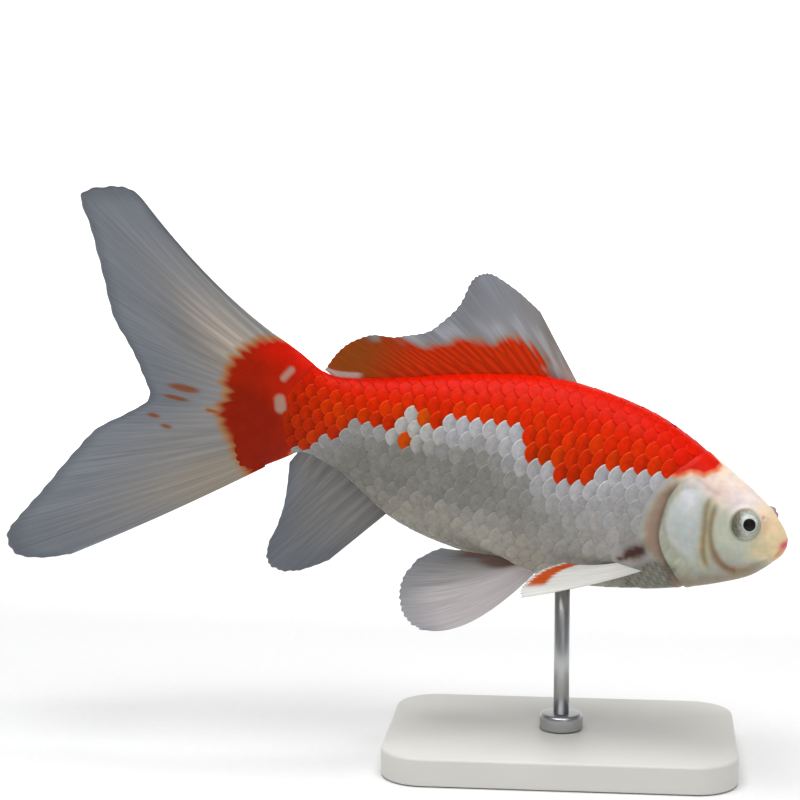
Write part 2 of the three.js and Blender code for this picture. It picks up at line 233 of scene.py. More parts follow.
# The midline's heading in degrees to the left of +X: the head turned to the right, the tail
# stalk a little to the right too, and the tail fin trailing back to the left.
heading = through([
    (0, -21), (25, -19.5), (44, -12.6), (62, -7.5), (88, -1), (130, 3.5), (165, 2.5), (205, -4),
    (260, -9),
])

# Roll of the body about its own line, in degrees: the head leans over to the right.
roll = through([(0, 5.5), (22, 5.5), (62, 0)])


def walked_midline():
    """The midline seen from above, walked back from the snout in steps of one millimetre: the
    running sum of each step's cosine and sine of the heading at its middle."""
    turns = np.radians(heading(np.arange(MIDLINE_STEPS) + 0.5))
    steps = np.stack([np.cos(turns), np.sin(turns)], -1)
    return -np.concatenate([np.zeros((1, 2)), np.cumsum(steps, axis=0)])


MIDLINE = walked_midline()


def bent_and_tilted(points):
    """Straight-fish points rolled about the fish's line, moved onto the midline at their station
    and square to its heading, then turned nose-down about the side-to-side axis."""
    s, side, rise = np.moveaxis(np.asarray(points, float), -1, 0)
    lean = np.radians(roll(s))
    w = side * np.cos(lean) - rise * np.sin(lean)
    h = rise * np.cos(lean) + side * np.sin(lean)
    i = np.clip(np.floor(s), 0, len(MIDLINE) - 2).astype(int)
    turn = np.radians(heading(s))
    spot = MIDLINE[i] + (MIDLINE[i + 1] - MIDLINE[i]) * (s - i)[..., None]
    x = spot[..., 0] - w * np.sin(turn)
    y = spot[..., 1] + w * np.cos(turn)
    tilted_x = x * np.cos(PITCH) + h * np.sin(PITCH)
    tilted_z = -x * np.sin(PITCH) + h * np.cos(PITCH)
    return np.stack([tilted_x, y, tilted_z], axis=-1)


SUPPORT = bent_and_tilted([SUPPORT_STATION, 0, belly(SUPPORT_STATION)])


def pose(points):
    """Straight-fish millimetres to metres in the frame: bent, tilted and set on the rod."""
    return (bent_and_tilted(points) - SUPPORT + [0, 0, BELLY_HEIGHT]) * MM


# ---- meshes ----

def grid_faces(rows, columns, wrap=False):
    """The four-cornered faces of a grid of points counted row by row. wrap joins the last
    column to the first."""
    across = np.arange(columns if wrap else columns - 1)
    a = (np.arange(rows - 1)[:, None] * columns + across).ravel()
    b = (np.arange(rows - 1)[:, None] * columns + (across + 1) % columns).ravel()
    return np.stack([a, b, b + columns, a + columns], -1)


def fan_faces(centre, ring):
    """The three-cornered faces from a centre point to each side of a closed ring."""
    return np.stack([np.full(len(ring), centre), ring, np.roll(ring, -1)], -1)


def closed_faces(rows, around):
    """The faces of rings of points counted ring by ring, whose open ends are closed by fans to
    the two points that come after the rings."""
    ring, last = np.arange(around), rows * around
    fans = [fan_faces(last, ring)[:, ::-1], fan_faces(last + 1, ring + last - around)]
    return [grid_faces(rows, around, wrap=True), np.concatenate(fans)]


def rings_about_axis(radius, height, turn):
    """Rings of points round the upright axis: one ring for each radius and height, with a point
    at each turn."""
    return np.stack([
        radius[:, None] * np.cos(turn), radius[:, None] * np.sin(turn),
        np.broadcast_to(height[:, None], (len(height), len(turn))),
    ], -1)


def volume_of(points, faces):
    """Six times the volume that the faces enclose: the sum over them of first corner times the
    cross product of two others. It is negative if the faces point inwards."""
    a, b, c, d = (points[faces[:, i]] for i in (0, 1, 2, -1))
    return (a * np.cross(b, c)).sum() + (a * np.cross(c, d)).sum() * (faces.shape[1] == 4)


def build_piece(name, points, faces, material, nodes, colours=None, extra=None, uv=None):
    """Makes one closed mesh of the object from arrays and hides the model's parts that it
    replaces.

    faces is a list of face arrays. They are turned round together if they point inwards.
    colours is one linear colour for each point, extra a dictionary of further attributes with
    three values each, and uv two values for each point.
    """
    if sum(volume_of(points, f) for f in faces) < 0:
        faces = [f[:, ::-1] for f in faces]
    corners = np.concatenate([f.ravel() for f in faces])
    sizes = np.concatenate([np.full(len(f), f.shape[1]) for f in faces])
    mesh = bpy.data.meshes.new(name)
    mesh.vertices.add(len(points))
    mesh.vertices.foreach_set("co", np.asarray(points, np.float32).ravel())
    mesh.loops.add(len(corners))
    mesh.loops.foreach_set("vertex_index", corners.astype(np.int32))
    mesh.polygons.add(len(sizes))
    mesh.polygons.foreach_set("loop_start", (np.cumsum(sizes) - sizes).astype(np.int32))
    mesh.polygons.foreach_set("use_smooth", np.ones(len(sizes), bool))
    mesh.update(calc_edges=True)
    if colours is not None:
        layer = mesh.attributes.new("Markings", "FLOAT_COLOR", "POINT")
        rgba = np.concatenate([np.clip(colours, 0, 1), np.ones((len(points), 1))], -1)
        layer.data.foreach_set("color", rgba.astype(np.float32).ravel())
    for label, values in (extra or {}).items():
        layer = mesh.attributes.new(label, "FLOAT_VECTOR", "POINT")
        layer.data.foreach_set("vector", np.asarray(values, np.float32).ravel())
    if uv is not None:
        layer = mesh.uv_layers.new(name="OFBake")
        layer.data.foreach_set("uv", np.asarray(uv, np.float32)[corners].ravel())
    if mesh.validate():
        raise RuntimeError(f"{name} had faces that Blender had to mend")
    mesh.materials.append(material)
    piece = bpy.data.objects.new(name, mesh)
    bpy.context.scene.collection.objects.link(piece)
    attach(piece, "root")
    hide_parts(*nodes)
    return piece


# ---- colours and materials ----

def linear(code):
    """An sRGB hex colour as the linear values that Blender works in."""
    share = np.array([int(code[i:i + 2], 16) / 255 for i in (1, 3, 5)])
    return tuple(np.where(share <= 0.04045, share / 12.92, ((share + 0.055) / 1.055) ** 2.4))


def tinted(base, colour, share):
    """Colours moved towards another colour by a share from 0 to 1."""
    share = np.clip(share, 0, 1)[..., None]
    return base + (np.asarray(colour) - base) * share


def layered(paint, *layers):
    """Colours with others laid over them in turn, each given with the share that it covers."""
    for colour, share in layers:
        paint = tinted(paint, colour, share)
    return paint


def new_material(name):
    """A material with nothing but its output node, and its node tree."""
    material = bpy.data.materials.new(name)
    material.use_nodes = True
    tree = material.node_tree
    tree.nodes.clear()
    tree.nodes.new("ShaderNodeOutputMaterial")
    return material, tree


def add_node(tree, kind, sockets=None, **settings):
    """Adds a node. settings are its own properties, and sockets gives each input, by name or
    number, a value or another node's output to link."""
    node = tree.nodes.new(kind)
    for name, value in settings.items():
        setattr(node, name, value)
    for key, value in (sockets or {}).items():
        if isinstance(value, bpy.types.NodeSocket):
            tree.links.new(value, node.inputs[key])
        else:
            node.inputs[key].default_value = value
    return node


def finish_material(tree, shader):
    """Links a shader to the material's output."""
    output = next(node for node in tree.nodes if node.type == "OUTPUT_MATERIAL")
    tree.links.new(shader.outputs[0], output.inputs["Surface"])


def varied(tree, paint, pattern, darkest, lightest):
    """A colour made darker and lighter by a pattern: the middle of the pattern's range, 0.3 to
    0.7, is spread from one factor to the other and multiplied in."""
    factor = add_node(tree, "ShaderNodeMapRange", {
        "Value": pattern.outputs["Fac"], "From Min": 0.3, "From Max": 0.7,
        "To Min": darkest, "To Max": lightest})
    return add_node(tree, "ShaderNodeVectorMath", {
        0: paint, 1: factor.outputs["Result"]}, operation="MULTIPLY").outputs["Vector"]


def tinged(tree, paint, pattern, warm, cool):
    """A colour multiplied by a tint that a pattern moves from warm to cool."""
    tint = add_node(tree, "ShaderNodeMix", {
        0: pattern.outputs["Fac"], 6: (*warm, 1), 7: (*cool, 1)}, data_type="RGBA")
    return add_node(tree, "ShaderNodeVectorMath", {
        0: paint, 1: tint.outputs[2]}, operation="MULTIPLY").outputs["Vector"]


def skin_material():
    """Varnished scaleless fish skin, cast and airbrushed: a smooth coat over a thin translucent
    skin, so it has a soft broad gloss, faint pores and a slight mottle. Pores on a real head are
    about 0.2 mm across, drawn here at 0.5 mm so that they show."""
    material, tree = new_material("varnished fish skin")
    paint = add_node(tree, "ShaderNodeAttribute", attribute_name="Markings")
    place = add_node(tree, "ShaderNodeTexCoord")
    cloud = add_node(tree, "ShaderNodeTexNoise", {
        "Vector": place.outputs["Object"], "Scale": 260.0, "Detail": 3.0, "Roughness": 0.6})
    cast = add_node(tree, "ShaderNodeTexNoise", {
        "Vector": place.outputs["Object"], "Scale": 430.0, "Detail": 3.0})
    colour = tinged(tree, paint.outputs["Color"], cast, (1.16, 0.97, 0.89), (0.88, 1.04, 1.12))
    colour = varied(tree, colour, cloud, 0.90, 1.08)
    pores = add_node(tree, "ShaderNodeTexVoronoi", {
        "Vector": place.outputs["Object"], "Scale": 1900.0})
    grain = add_node(tree, "ShaderNodeTexNoise", {
        "Vector": place.outputs["Object"], "Scale": 900.0, "Detail": 2.0})
    height = add_node(tree, "ShaderNodeMath", {
        0: pores.outputs["Distance"], 1: grain.outputs["Fac"]}, operation="ADD")
    bump = add_node(tree, "ShaderNodeBump", {
        "Strength": 0.12, "Distance": 0.0002, "Height": height.outputs["Value"]})
    shader = add_node(tree, "ShaderNodeBsdfPrincipled", {
        "Base Color": colour, "Roughness": 0.42, "IOR": 1.4,
        "Specular IOR Level": 0.12, "Coat Weight": 0.02, "Coat Roughness": 0.18,
        "Subsurface Weight": 0.06, "Subsurface Radius": (1.0, 0.5, 0.3),
        "Subsurface Scale": 0.0012, "Normal": bump.outputs["Normal"]})
    finish_material(tree, shader)
    return material


def scale_material():
    """Varnished scales of pearl and scarlet: thin hard plates with a satin gloss and fine growth
    rings. Real rings are about 0.05 mm apart, drawn here at 0.5 mm so that they show."""
    material, tree = new_material("varnished scale")
    paint = add_node(tree, "ShaderNodeAttribute", attribute_name="Markings")
    place = add_node(tree, "ShaderNodeAttribute", attribute_name="Plate")
    where = add_node(tree, "ShaderNodeTexCoord")
    cloud = add_node(tree, "ShaderNodeTexNoise", {
        "Vector": where.outputs["Object"], "Scale": 520.0, "Detail": 4.0, "Roughness": 0.75})
    cast = add_node(tree, "ShaderNodeTexNoise", {
        "Vector": where.outputs["Object"], "Scale": 800.0, "Detail": 2.0})
    colour = tinged(tree, paint.outputs["Color"], cast, (1.10, 1.0, 0.88), (0.92, 1.0, 1.10))
    colour = varied(tree, colour, cloud, 0.80, 1.14)
    rings = add_node(tree, "ShaderNodeTexWave", {
        "Vector": place.outputs["Vector"], "Scale": 0.32, "Distortion": 0.6},
        wave_type="RINGS", rings_direction="SPHERICAL")
    bump = add_node(tree, "ShaderNodeBump", {
        "Strength": 0.10, "Distance": 0.0001, "Height": rings.outputs["Fac"]})
    shader = add_node(tree, "ShaderNodeBsdfPrincipled", {
        "Base Color": colour, "Roughness": 0.36, "IOR": 1.4,
        "Specular IOR Level": 0.07, "Normal": bump.outputs["Normal"]})
    finish_material(tree, shader)
    return material


def membrane_material():
    """Fin membrane of thin cast resin between ribs: satin, slightly translucent, with fine lines
    that run along the rays. Real lines are about 0.3 mm apart, drawn here at 0.6 mm."""
    material, tree = new_material("translucent fin membrane")
    paint = add_node(tree, "ShaderNodeAttribute", attribute_name="Markings")
    place = add_node(tree, "ShaderNodeAttribute", attribute_name="Rays")
    stretch = add_node(tree, "ShaderNodeMapping", {
        "Vector": place.outputs["Vector"], "Scale": (1.7, 0.05, 1.0)})
    lines = add_node(tree, "ShaderNodeTexNoise", {
        "Vector": stretch.outputs["Vector"], "Scale": 1.0, "Detail": 2.5, "Roughness": 0.6})
    colour = varied(tree, paint.outputs["Color"], lines, 0.84, 1.14)
    bump = add_node(tree, "ShaderNodeBump", {
        "Strength": 0.25, "Distance": 0.0002, "Height": lines.outputs["Fac"]})
    shader = add_node(tree, "ShaderNodeBsdfPrincipled", {
        "Base Color": colour, "Roughness": 0.45, "IOR": 1.4, "Specular IOR Level": 0.1,
        "Subsurface Weight": 0.15, "Subsurface Radius": (1.0, 0.8, 0.7),
        "Subsurface Scale": 0.001, "Normal": bump.outputs["Normal"]})
    finish_material(tree, shader)
    return material


def eye_material():
    """Glass eye, blown and lacquered: the painted pupil and iris lie under a clear glossy dome,
    which gives one sharp highlight."""
    material, tree = new_material("lacquered glass eye")
    paint = add_node(tree, "ShaderNodeAttribute", attribute_name="Markings")
    place = add_node(tree, "ShaderNodeTexCoord")
    fibres = add_node(tree, "ShaderNodeTexNoise", {
        "Vector": place.outputs["Object"], "Scale": 1500.0, "Detail": 2.0})
    colour = varied(tree, paint.outputs["Color"], fibres, 0.86, 1.12)
    shader = add_node(tree, "ShaderNodeBsdfPrincipled", {
        "Base Color": colour, "Roughness": 0.45, "IOR": 1.4, "Specular IOR Level": 0.2,
        "Coat Weight": 0.45, "Coat Roughness": 0.06, "Coat IOR": 1.4})
    finish_material(tree, shader)
    return material


def paint_material(looks):
    """Satin spray paint on a steel plate: off-white, even, with the faint dimpling that sprayed
    paint dries to. Real dimples are about 0.8 mm across."""
    material, tree = new_material("satin sprayed paint")
    place = add_node(tree, "ShaderNodeTexCoord")
    dimples = add_node(tree, "ShaderNodeTexNoise", {
        "Vector": place.outputs["Object"], "Scale": 1200.0, "Detail": 2.0})
    tone = add_node(tree, "ShaderNodeTexNoise", {
        "Vector": place.outputs["Object"], "Scale": 25.0, "Detail": 2.0})
    colour = add_node(tree, "ShaderNodeMix", {
        0: tone.outputs["Fac"], 6: (*looks.plate_colour, 1), 7: (*linear("#D6D4CD"), 1)},
        data_type="RGBA")
    bump = add_node(tree, "ShaderNodeBump", {
        "Strength": 0.1, "Distance": 0.0002, "Height": dimples.outputs["Fac"]})
    shader = add_node(tree, "ShaderNodeBsdfPrincipled", {
        "Base Color": colour.outputs[2], "Roughness": 0.45, "Normal": bump.outputs["Normal"]})
    finish_material(tree, shader)
    return material


def steel_material(looks):
    """Brushed stainless steel, drawn rod and turned collar: fine lines around it, which spread
    its reflections up and down. Real lines are about 0.05 mm, drawn here at 0.2 mm."""
    material, tree = new_material("brushed stainless steel")
    place = add_node(tree, "ShaderNodeTexCoord")
    stretch = add_node(tree, "ShaderNodeMapping", {
        "Vector": place.outputs["Object"], "Scale": (60.0, 60.0, 5000.0)})
    lines = add_node(tree, "ShaderNodeTexNoise", {
        "Vector": stretch.outputs["Vector"], "Scale": 1.0, "Detail": 2.0})
    gloss = add_node(tree, "ShaderNodeMapRange", {
        "Value": lines.outputs["Fac"], "To Min": 0.24, "To Max": 0.42})
    bump = add_node(tree, "ShaderNodeBump", {
        "Strength": 0.08, "Distance": 0.0001, "Height": lines.outputs["Fac"]})
    shader = add_node(tree, "ShaderNodeBsdfPrincipled", {
        "Base Color": (*looks.steel_colour, 1), "Metallic": 1.0,
        "Roughness": gloss.outputs["Result"], "Normal": bump.outputs["Normal"]})
    finish_material(tree, shader)
    return material


# ---- the markings, on skin and scales alike ----

# Colours of single marks, named for what they show.
TINT = {name: linear(code) for name, code in {
    "painted shade low on cheek": "#9BA09A", "brow blush": "#E6C6C2", "brow lilac": "#E2DAE2",
    "spot before eye": "#F0C4A2", "dark rim streak": "#8C8F80", "pale rim streak": "#CDD2C4",
    "jaw": "#978C77", "painted highlight on gill dome": "#E2E4EA", "cheek crease": "#CFC79E", "painted shade below fold": "#8A5F48",
    "brow arch": "#A98E92", "gill shadow": "#5E4A3E", "mouth line": "#E08A68",
    "nostril": "#C98C80", "eye rim": "#77776B", "painted shade on left eye bulge": "#5A505E",
    "armpit mottle": "#565A4E", "painted shade round armpit": "#6E5A4C", "armpit": "#431A15",
    "cool pearl": "#8E9296", "warm pearl": "#A08F88", "bright pearl": "#C2C3CB",
    "painted highlight on pearl rim": "#F2F0EE", "pearl shade": "#83828C", "rim highlight beside strays": "#E4E0DA",
    "pearl beside strays": "#D2D0CC", "orange scarlet": "#F04E08", "deep scarlet": "#A01602",
    "painted highlight on scarlet rim": "#FF6A0C", "low scarlet": "#8E2404",
    "front ray": "#85796A", "front root": "#D6C8C2", "dorsal streak": "#C6CAD2",
    "dorsal grey": "#A6A8AE", "dorsal rear red": "#9A4A12", "between rays": "#8A1E06",
    "last ray": "#C9B9B4", "upper tail cream": "#D8C6B2", "lower tail straw": "#A79880",
    "tail edge": "#5E646C", "tail top": "#666C70", "tail fleck": "#8E4A18",
    "pectoral patch": "#CC5824", "painted shade on upper pelvic fin": "#6C6F6B", "painted shadow along pelvic root": "#5C4034",
    "painted shade at pelvic tip": "#5A605E", "pelvic rib": "#7A7F84", "pelvic edge": "#8D9198",
    "iris lobe": "#E9EEEB", "iris speck": "#5F6458", "iris green": "#8FA093",
    "iris arc": "#86705A", "painted shade on eye rear": "#57523F", "iris front": "#B2B3A4",
    "pupil ring": "#EEF2EF",
}.items()}

# Outlines in station and height of the right flank.
MANTLE_EDGE = [
    (26.4, 40), (26.4, 19.4), (29.3, 17.7), (33.3, 17.7), (37.1, 15.4), (42.8, 15), (50, 13.1),
    (56, 11.8), (61, 10.6), (62.3, 4.6), (70, 3.6), (76.4, 4), (78, 8.4), (83, 8.9), (90.4, 9),
    (92.6, 14.6), (97, 15.2), (105, 13.8), (112, 12.2), (117.6, 9.6), (120.5, 10.8), (123, 14),
    (126.4, 13.2), (130, 8.3), (133, 5.2), (139.3, 5.2), (145.7, 4.7), (147.8, -2.1),
    (155.5, -9.3), (160.7, -13), (165, -40),
]
MANTLE = np.array([*MANTLE_EDGE, (260, -90), (260, 90), (26.4, 90)], float)
STRAY_SCALES = [(126.8, 2.6), (123.9, 8.1)]
STRAY_REACH = 4  # how far the middle of a stray scale may be from its place
# Pale marks on the tail stalk, each along a line, with its half width.
PALE_MARKS = [
    (smooth_path([(168.4, 2.6), (168, 1.4), (167.6, 0.2)]), 1.9),
    (smooth_path([(168.9, 9.6), (168.2, 11), (167.2, 12.8)]), 1.15),
]


def mantle_depth(s, w, h):
    """Millimetres inside the scarlet mantle, which covers the back and the tail stalk. On the
    left side its edge lies 4 mm further back and wanders by 2 mm."""
    left = ramp(w, -1, 1)
    return depth_inside(MANTLE, s - 4 * left, h + 2 * left * np.sin(s / 7))


def pale_marks(s, w, h):
    """How strongly the pale marks of the right side of the tail stalk show: 1 within their half
    width, fading over a soft edge."""
    gaps = [nearest(path, s, h)[0] - half for path, half in PALE_MARKS]
    return (1 - ramp(np.min(gaps, axis=0), -0.9, 0.6)) * (w < 0.5)


def root_shade(s, h):
    """How far the scarlet has darkened towards the root of the tail: more to the rear and
    towards the lower edge, and hardly at all along the top."""
    low = 1 - ramp(h, -6, 8)
    shade = ramp(s, 140, 176) * (0.45 + 0.65 * low) + 0.3 * ramp(s, 168, 182)
    return shade * (1 - 0.7 * ramp(h, 11, 17) * (1 - ramp(s, 174, 186)))


# ---- the face, in station and height ----

EYE_RADIUS = 4.65  # seen from in front of the eye
EYE_CENTRE = np.array([12.2, 7.1, 6.5])
MOUTH = smooth_path([(-0.6, 3.3), (0.3, 3), (0.8, 1), (2.2, -1.7), (3.9, -3.4), (5.6, -4.7)])
NOSTRIL = (8, 9.6)
CHEEK_FOLD = smooth_path([
    (22.3, 11.8), (22.3, 8.8), (22.1, 5.3), (21.5, 1.8), (20.4, -1.5), (18.7, -4.5),
    (16.6, -6.9), (14.2, -8.2), (11.2, -8.3), (8.3, -6.9), (5.6, -4.7),
])
PREOPERCLE = smooth_path([
    (24, 13.2), (24.8, 9.6), (24.3, 6.2), (23.4, 1.9), (22.8, -2.2), (21.9, -6), (20.3, -9.4),
    (18.1, -11),
])
GILL_PLATE = smooth_path([
    (36, 9.3), (34, 12), (31, 13.4), (28, 12.6), (26, 9.4), (24.9, 4.8), (24.2, 1.4),
    (23.7, -3.3), (23.5, -7.7), (24.3, -10), (26.9, -9), (30.2, -7.4), (33.6, -4.9),
    (36.2, -1.4), (37.1, 1.7), (37, 5.4),
], closed=True)
GILL_EDGE = smooth_path([
    (32.3, 15.9), (34.7, 13.8), (36, 11.6), (37.2, 8.6), (37.6, 5.5), (37.7, 1.3), (37.6, -2.4),
    (36.7, -5.9), (34.9, -9.2), (32.4, -12.3), (29.9, -15.6), (27.6, -19.1), (25.2, -23),
])
BROW_ARCH = smooth_path([
    (34.7, 13.8), (32.3, 15.9), (29.5, 15.5), (25.8, 14), (22.5, 13.4), (19.4, 13),
])
SHOULDER_EDGE = smooth_path([
    (38.2, 13.2), (41.3, 8.8), (42.6, 5.2), (43.3, -0.9), (42.8, -5), (41.7, -8.5),
    (39.1, -10.4), (35.8, -12.8), (32.6, -16.5), (30.6, -22),
])
ARMPIT = smooth_path([(48.2, -15.8), (45.2, -12.9), (42.6, -11)])


def armpit_gap(s, h):
    """Distance to the hollow above the pectoral fin, in half widths of it: it is a wedge, narrow
    at the rear and wider in front, with an uneven edge."""
    gap, _, share = nearest(ARMPIT, s, h)
    return gap / (0.5 + 1.3 * ramp(share, 0, 0.6)) + 0.25 * mottle(s * 1.3, h * 1.6)


def face_marks(s, w, h):
    """Where a point of the straight body lies among the features of the head: its distance to
    each line or place, how far that line has faded there, and its height as shares."""
    mouth, _, share = nearest(MOUTH, s, h)
    mouth_fade = 1 - ramp(share, 0.45, 0.85)
    cheek, cheek_side, cheek_share = nearest(CHEEK_FOLD, s, h)
    cheek_fade = ramp(cheek_share, 0, 0.12) * (1 - ramp(cheek_share, 0.8, 1))
    rear, _, rear_share = nearest(PREOPERCLE, s, h)
    rear_fade = ramp(rear_share, 0, 0.15) * (1 - ramp(rear_share, 0.75, 1))
    gill, gill_side, gill_share = nearest(GILL_EDGE, s, h)
    gill_fade = ramp(gill_share, 0.04, 0.22)
    behind = gill * gill_side
    shoulder, shoulder_side, _ = nearest(SHOULDER_EDGE, s, h)
    plate = depth_inside(GILL_PLATE, s, h)
    from_eye = np.stack([s, np.abs(w), h], -1) - EYE_CENTRE
    nostril = np.hypot(s - NOSTRIL[0], h - NOSTRIL[1])
    armpit = armpit_gap(s, h)
    arch, _, arch_share = nearest(BROW_ARCH, s, h)
    down = (widest(s) - h) / np.maximum(widest(s) - belly(s), 0.1)
    return {
        "mouth": mouth, "mouth_fade": mouth_fade, "mouth_share": share,
        "cheek": cheek, "cheek_side": cheek_side, "cheek_fade": cheek_fade,
        "rear": rear, "rear_fade": rear_fade,
        "behind": behind, "gill_fade": gill_fade,
        "shoulder": shoulder * shoulder_side,
        "plate": plate, "arch": arch + 3 * ramp(arch_share, 0.75, 1),
        "eye_gap": np.linalg.norm(from_eye, axis=-1) - EYE_RADIUS,
        "nostril": nostril, "armpit": armpit, "up": share_up(s, h), "down": down,
    }


def far_brow(s, w, h):
    """The upper front of the left eye's rim, which bulges more than the right one's."""
    return ramp(h, 6.5, 8.5) * (1 - ramp(s, 8.8, 10.8)) * (w > 0)


def face_relief(marks, s, w, h):
    """Millimetres that the skin stands out from the plain body: a sum of bells and ramps of the
    marks. Lips, eye rim, cheek disc, gill plate and shoulder stand proud, and the lines between
    them are soft grooves."""
    lift = 0.34 * bell(marks["mouth"] - 0.9, 0.7) * marks["mouth_fade"]
    lift -= 0.45 * bell(marks["mouth"], 0.4) * marks["mouth_fade"]
    lift += 0.12 * bell(marks["nostril"] - 0.8, 0.4) - 0.3 * bell(marks["nostril"], 0.5)
    lift += 0.26 * bell(marks["eye_gap"] - 0.5, 0.6) - 0.14 * bell(marks["eye_gap"] - 2.2, 0.9)
    lift -= 0.30 * bell(marks["cheek"], 0.8) * marks["cheek_fade"]
    lift += 0.22 * bell(marks["cheek"] - 1.6, 1.3) * marks["cheek_fade"]
    lift -= 0.26 * bell(marks["rear"], 0.8) * marks["rear_fade"]
    lift += 0.6 * ramp(marks["plate"], -1.0, 5.0)
    lift += 0.30 * bell(s - 31.5, 4) * bell(h - 15, 2.2)
    lift -= 0.12 * bell(marks["arch"], 0.7)
    behind = marks["behind"]
    drop = ramp(behind, -0.1, 0.35) * np.exp(-np.maximum(behind, 0) / 2.0)
    lip = 0.22 * bell(np.minimum(behind, 0), 1.2) * (behind < 0.35)
    lift += marks["gill_fade"] * (lip - 1.15 * drop)
    lift += 0.25 * bell(marks["shoulder"] + 1.2, 1.2) * (1 - ramp(s, 45, 48))
    lift -= 0.5 * bell(marks["armpit"] * 1.6, 1.6)
    lift += 1.5 * bell(marks["eye_gap"] - 0.9, 1.0) * far_brow(s, w, h)
    return lift


def ground_paint(looks, marks, s, h):
    """The head's ground: a pale greenish cheek greyed downwards by painted shade, a peach brow
    with a pink and a lilac blush, a straw snout with a peach spot before the eye, a streaked rim
    round the gill plate and an olive chin and jaw."""
    up, down = marks["up"], marks["down"]
    blush = bell((s - 24) / 6, 1) * bell((h - 14.5) / 3, 1)
    lilac = bell((s - 16) / 4.5, 1) * bell((h - 13) / 3, 1)
    snout = (1 - ramp(s, 5, 12)) * ramp(h, -7, 0)
    peach = bell((s - 6.2) / 2.4, 1) * bell((h - 7.5) / 3, 1)
    rim = ramp(s, 23, 26) * (1 - ramp(up, 0.3, 0.7))
    across = mottle((s + 0.6 * h) * 1.6, (h - 0.8 * s) * 0.24, 1.0)
    low_rim = ramp(-marks["plate"], 0.3, 1.5) * ramp(-h, 0, 5) * (s > 23)
    jaw = ramp(down, 0.4, 0.65) * ramp(s, 2, 5) * (1 - ramp(s, 11, 16))
    cheek = np.broadcast_to(np.array(looks.cheek), (*s.shape, 3))
    return layered(
        cheek,
        # painted shade: the cheek greyed from just above its middle downwards
        (TINT["painted shade low on cheek"], 0.6 * ramp(-h, -1, 8)),
        (looks.brow, ramp(up, 0.42, 0.8)),
        (TINT["brow blush"], 0.55 * blush),
        (TINT["brow lilac"], 0.6 * lilac),
        (looks.snout, 0.85 * snout),
        (TINT["spot before eye"], 0.6 * peach),
        (looks.gill_rim, 0.9 * rim),
        (TINT["dark rim streak"], 0.25 * ramp(across, 0.0, 0.55) * low_rim),
        (TINT["pale rim streak"], 0.35 * ramp(-across, 0.0, 0.55) * low_rim),
        (looks.chin, 0.9 * ramp(down, 0.5, 0.85) * ramp(s, 5, 10)),
        (TINT["jaw"], 0.7 * jaw),
    )


def gill_paint(looks, marks, paint, s, h):
    """The pearly gill plate with a painted highlight high up on its dome, the brownish folds of
    the cheek with painted shade in and below their grooves, and the strip and painted shadow
    behind the gill cover, laid over the ground."""
    behind = marks["behind"]
    dome = bell((s - 31) / 4.2, 1) * bell((h - 10) / 5.5, 1) * ramp(-behind, 0, 1.5)
    crease = bell((marks["rear"] - 1.2) / 1.2, 1) * (marks["cheek_side"] > 0) * (s < 24.5)
    shade_below_fold = bell(marks["cheek"], 1.5) * ramp(-h, 0, 6) * (s > 12)
    ridge = bell(marks["plate"], 0.7) * ramp(behind, -6, 0)
    strip = ramp(behind, -0.3, 1.0) * (1 - ramp(marks["shoulder"], -2.4, 1.8))
    shadow = ramp(behind, -0.8, 0.6) * np.exp(-np.maximum(behind, 0) / 2.8)
    return layered(
        paint,
        (looks.gill_plate, 0.9 * ramp(marks["plate"], -1.0, 2.0)),
        # painted highlight: a pale bluish patch high on the gill plate's dome
        (TINT["painted highlight on gill dome"], 0.7 * dome),
        (TINT["cheek crease"], 0.5 * crease * marks["rear_fade"]),
        # the folds' own brownish colour, laid strong enough to stand in for painted shade in their
        # grooves and along the gill plate's edge
        (looks.fold, 0.85 * bell(marks["cheek"], 1.0) * marks["cheek_fade"]),
        # painted shade: reddish brown below the groove of the cheek fold
        (TINT["painted shade below fold"], 0.55 * shade_below_fold * marks["cheek_fade"]),
        (looks.fold, 0.85 * bell(marks["rear"], 1.1) * marks["rear_fade"]),
        (looks.fold, 0.28 * ridge),
        (TINT["brow arch"], 0.3 * bell(marks["arch"], 0.8)),
        (looks.gill_strip, 0.9 * strip * marks["gill_fade"]),
        (TINT["gill shadow"], 0.6 * shadow * marks["gill_fade"]),
    )


def opening_paint(looks, marks, paint, s, w, h):
    """Rose lips that run out into an orange line, the nostrils, and painted shade round the eyes:
    grey behind the right one and dark violet over the bulge of the left one."""
    share = marks["mouth_share"]
    rose = bell(marks["mouth"], 1.2) * (1 - ramp(share, 0.25, 0.5))
    line = bell(marks["mouth"], 0.6) * ramp(share, 0.3, 0.45) * (1 - ramp(share, 0.5, 0.7))
    rim = bell(marks["eye_gap"] - 0.1, 0.5) * (w < 0)
    # painted shade over the bulge of the left eye's rim
    left_bulge_shade = bell(marks["eye_gap"] - 0.8, 1.2) * ramp(far_brow(s, w, h), 0, 0.3)
    return layered(
        paint,
        (looks.lips, 0.95 * rose),
        (TINT["mouth line"], 0.7 * line),
        (TINT["nostril"], 0.5 * bell(marks["nostril"], 0.6)),
        # painted shade: grey round the right eye, faint in front and strongest behind it
        (TINT["eye rim"], rim * (0.05 + 0.55 * ramp(s - EYE_CENTRE[0], -2.5, 3))),
        # painted shade: dark violet over the left eye's bulge
        (TINT["painted shade on left eye bulge"], 0.9 * left_bulge_shade),
    )


def face_paint(looks, marks, s, w, h):
    """The head's colours from the snout to the shoulder: ground, gill cover and folds, a faint
    cloudiness over them all, and then the mouth, nostrils and eye rims."""
    paint = gill_paint(looks, marks, ground_paint(looks, marks, s, h), s, h)
    cloud = mottle(s / 1.3, h / 1.3)
    fine = mottle(s * 1.7, h * 1.7, 2.0)
    paint = paint * (1 + 0.035 * cloud + 0.035 * fine)[..., None]
    return opening_paint(looks, marks, paint, s, w, h)


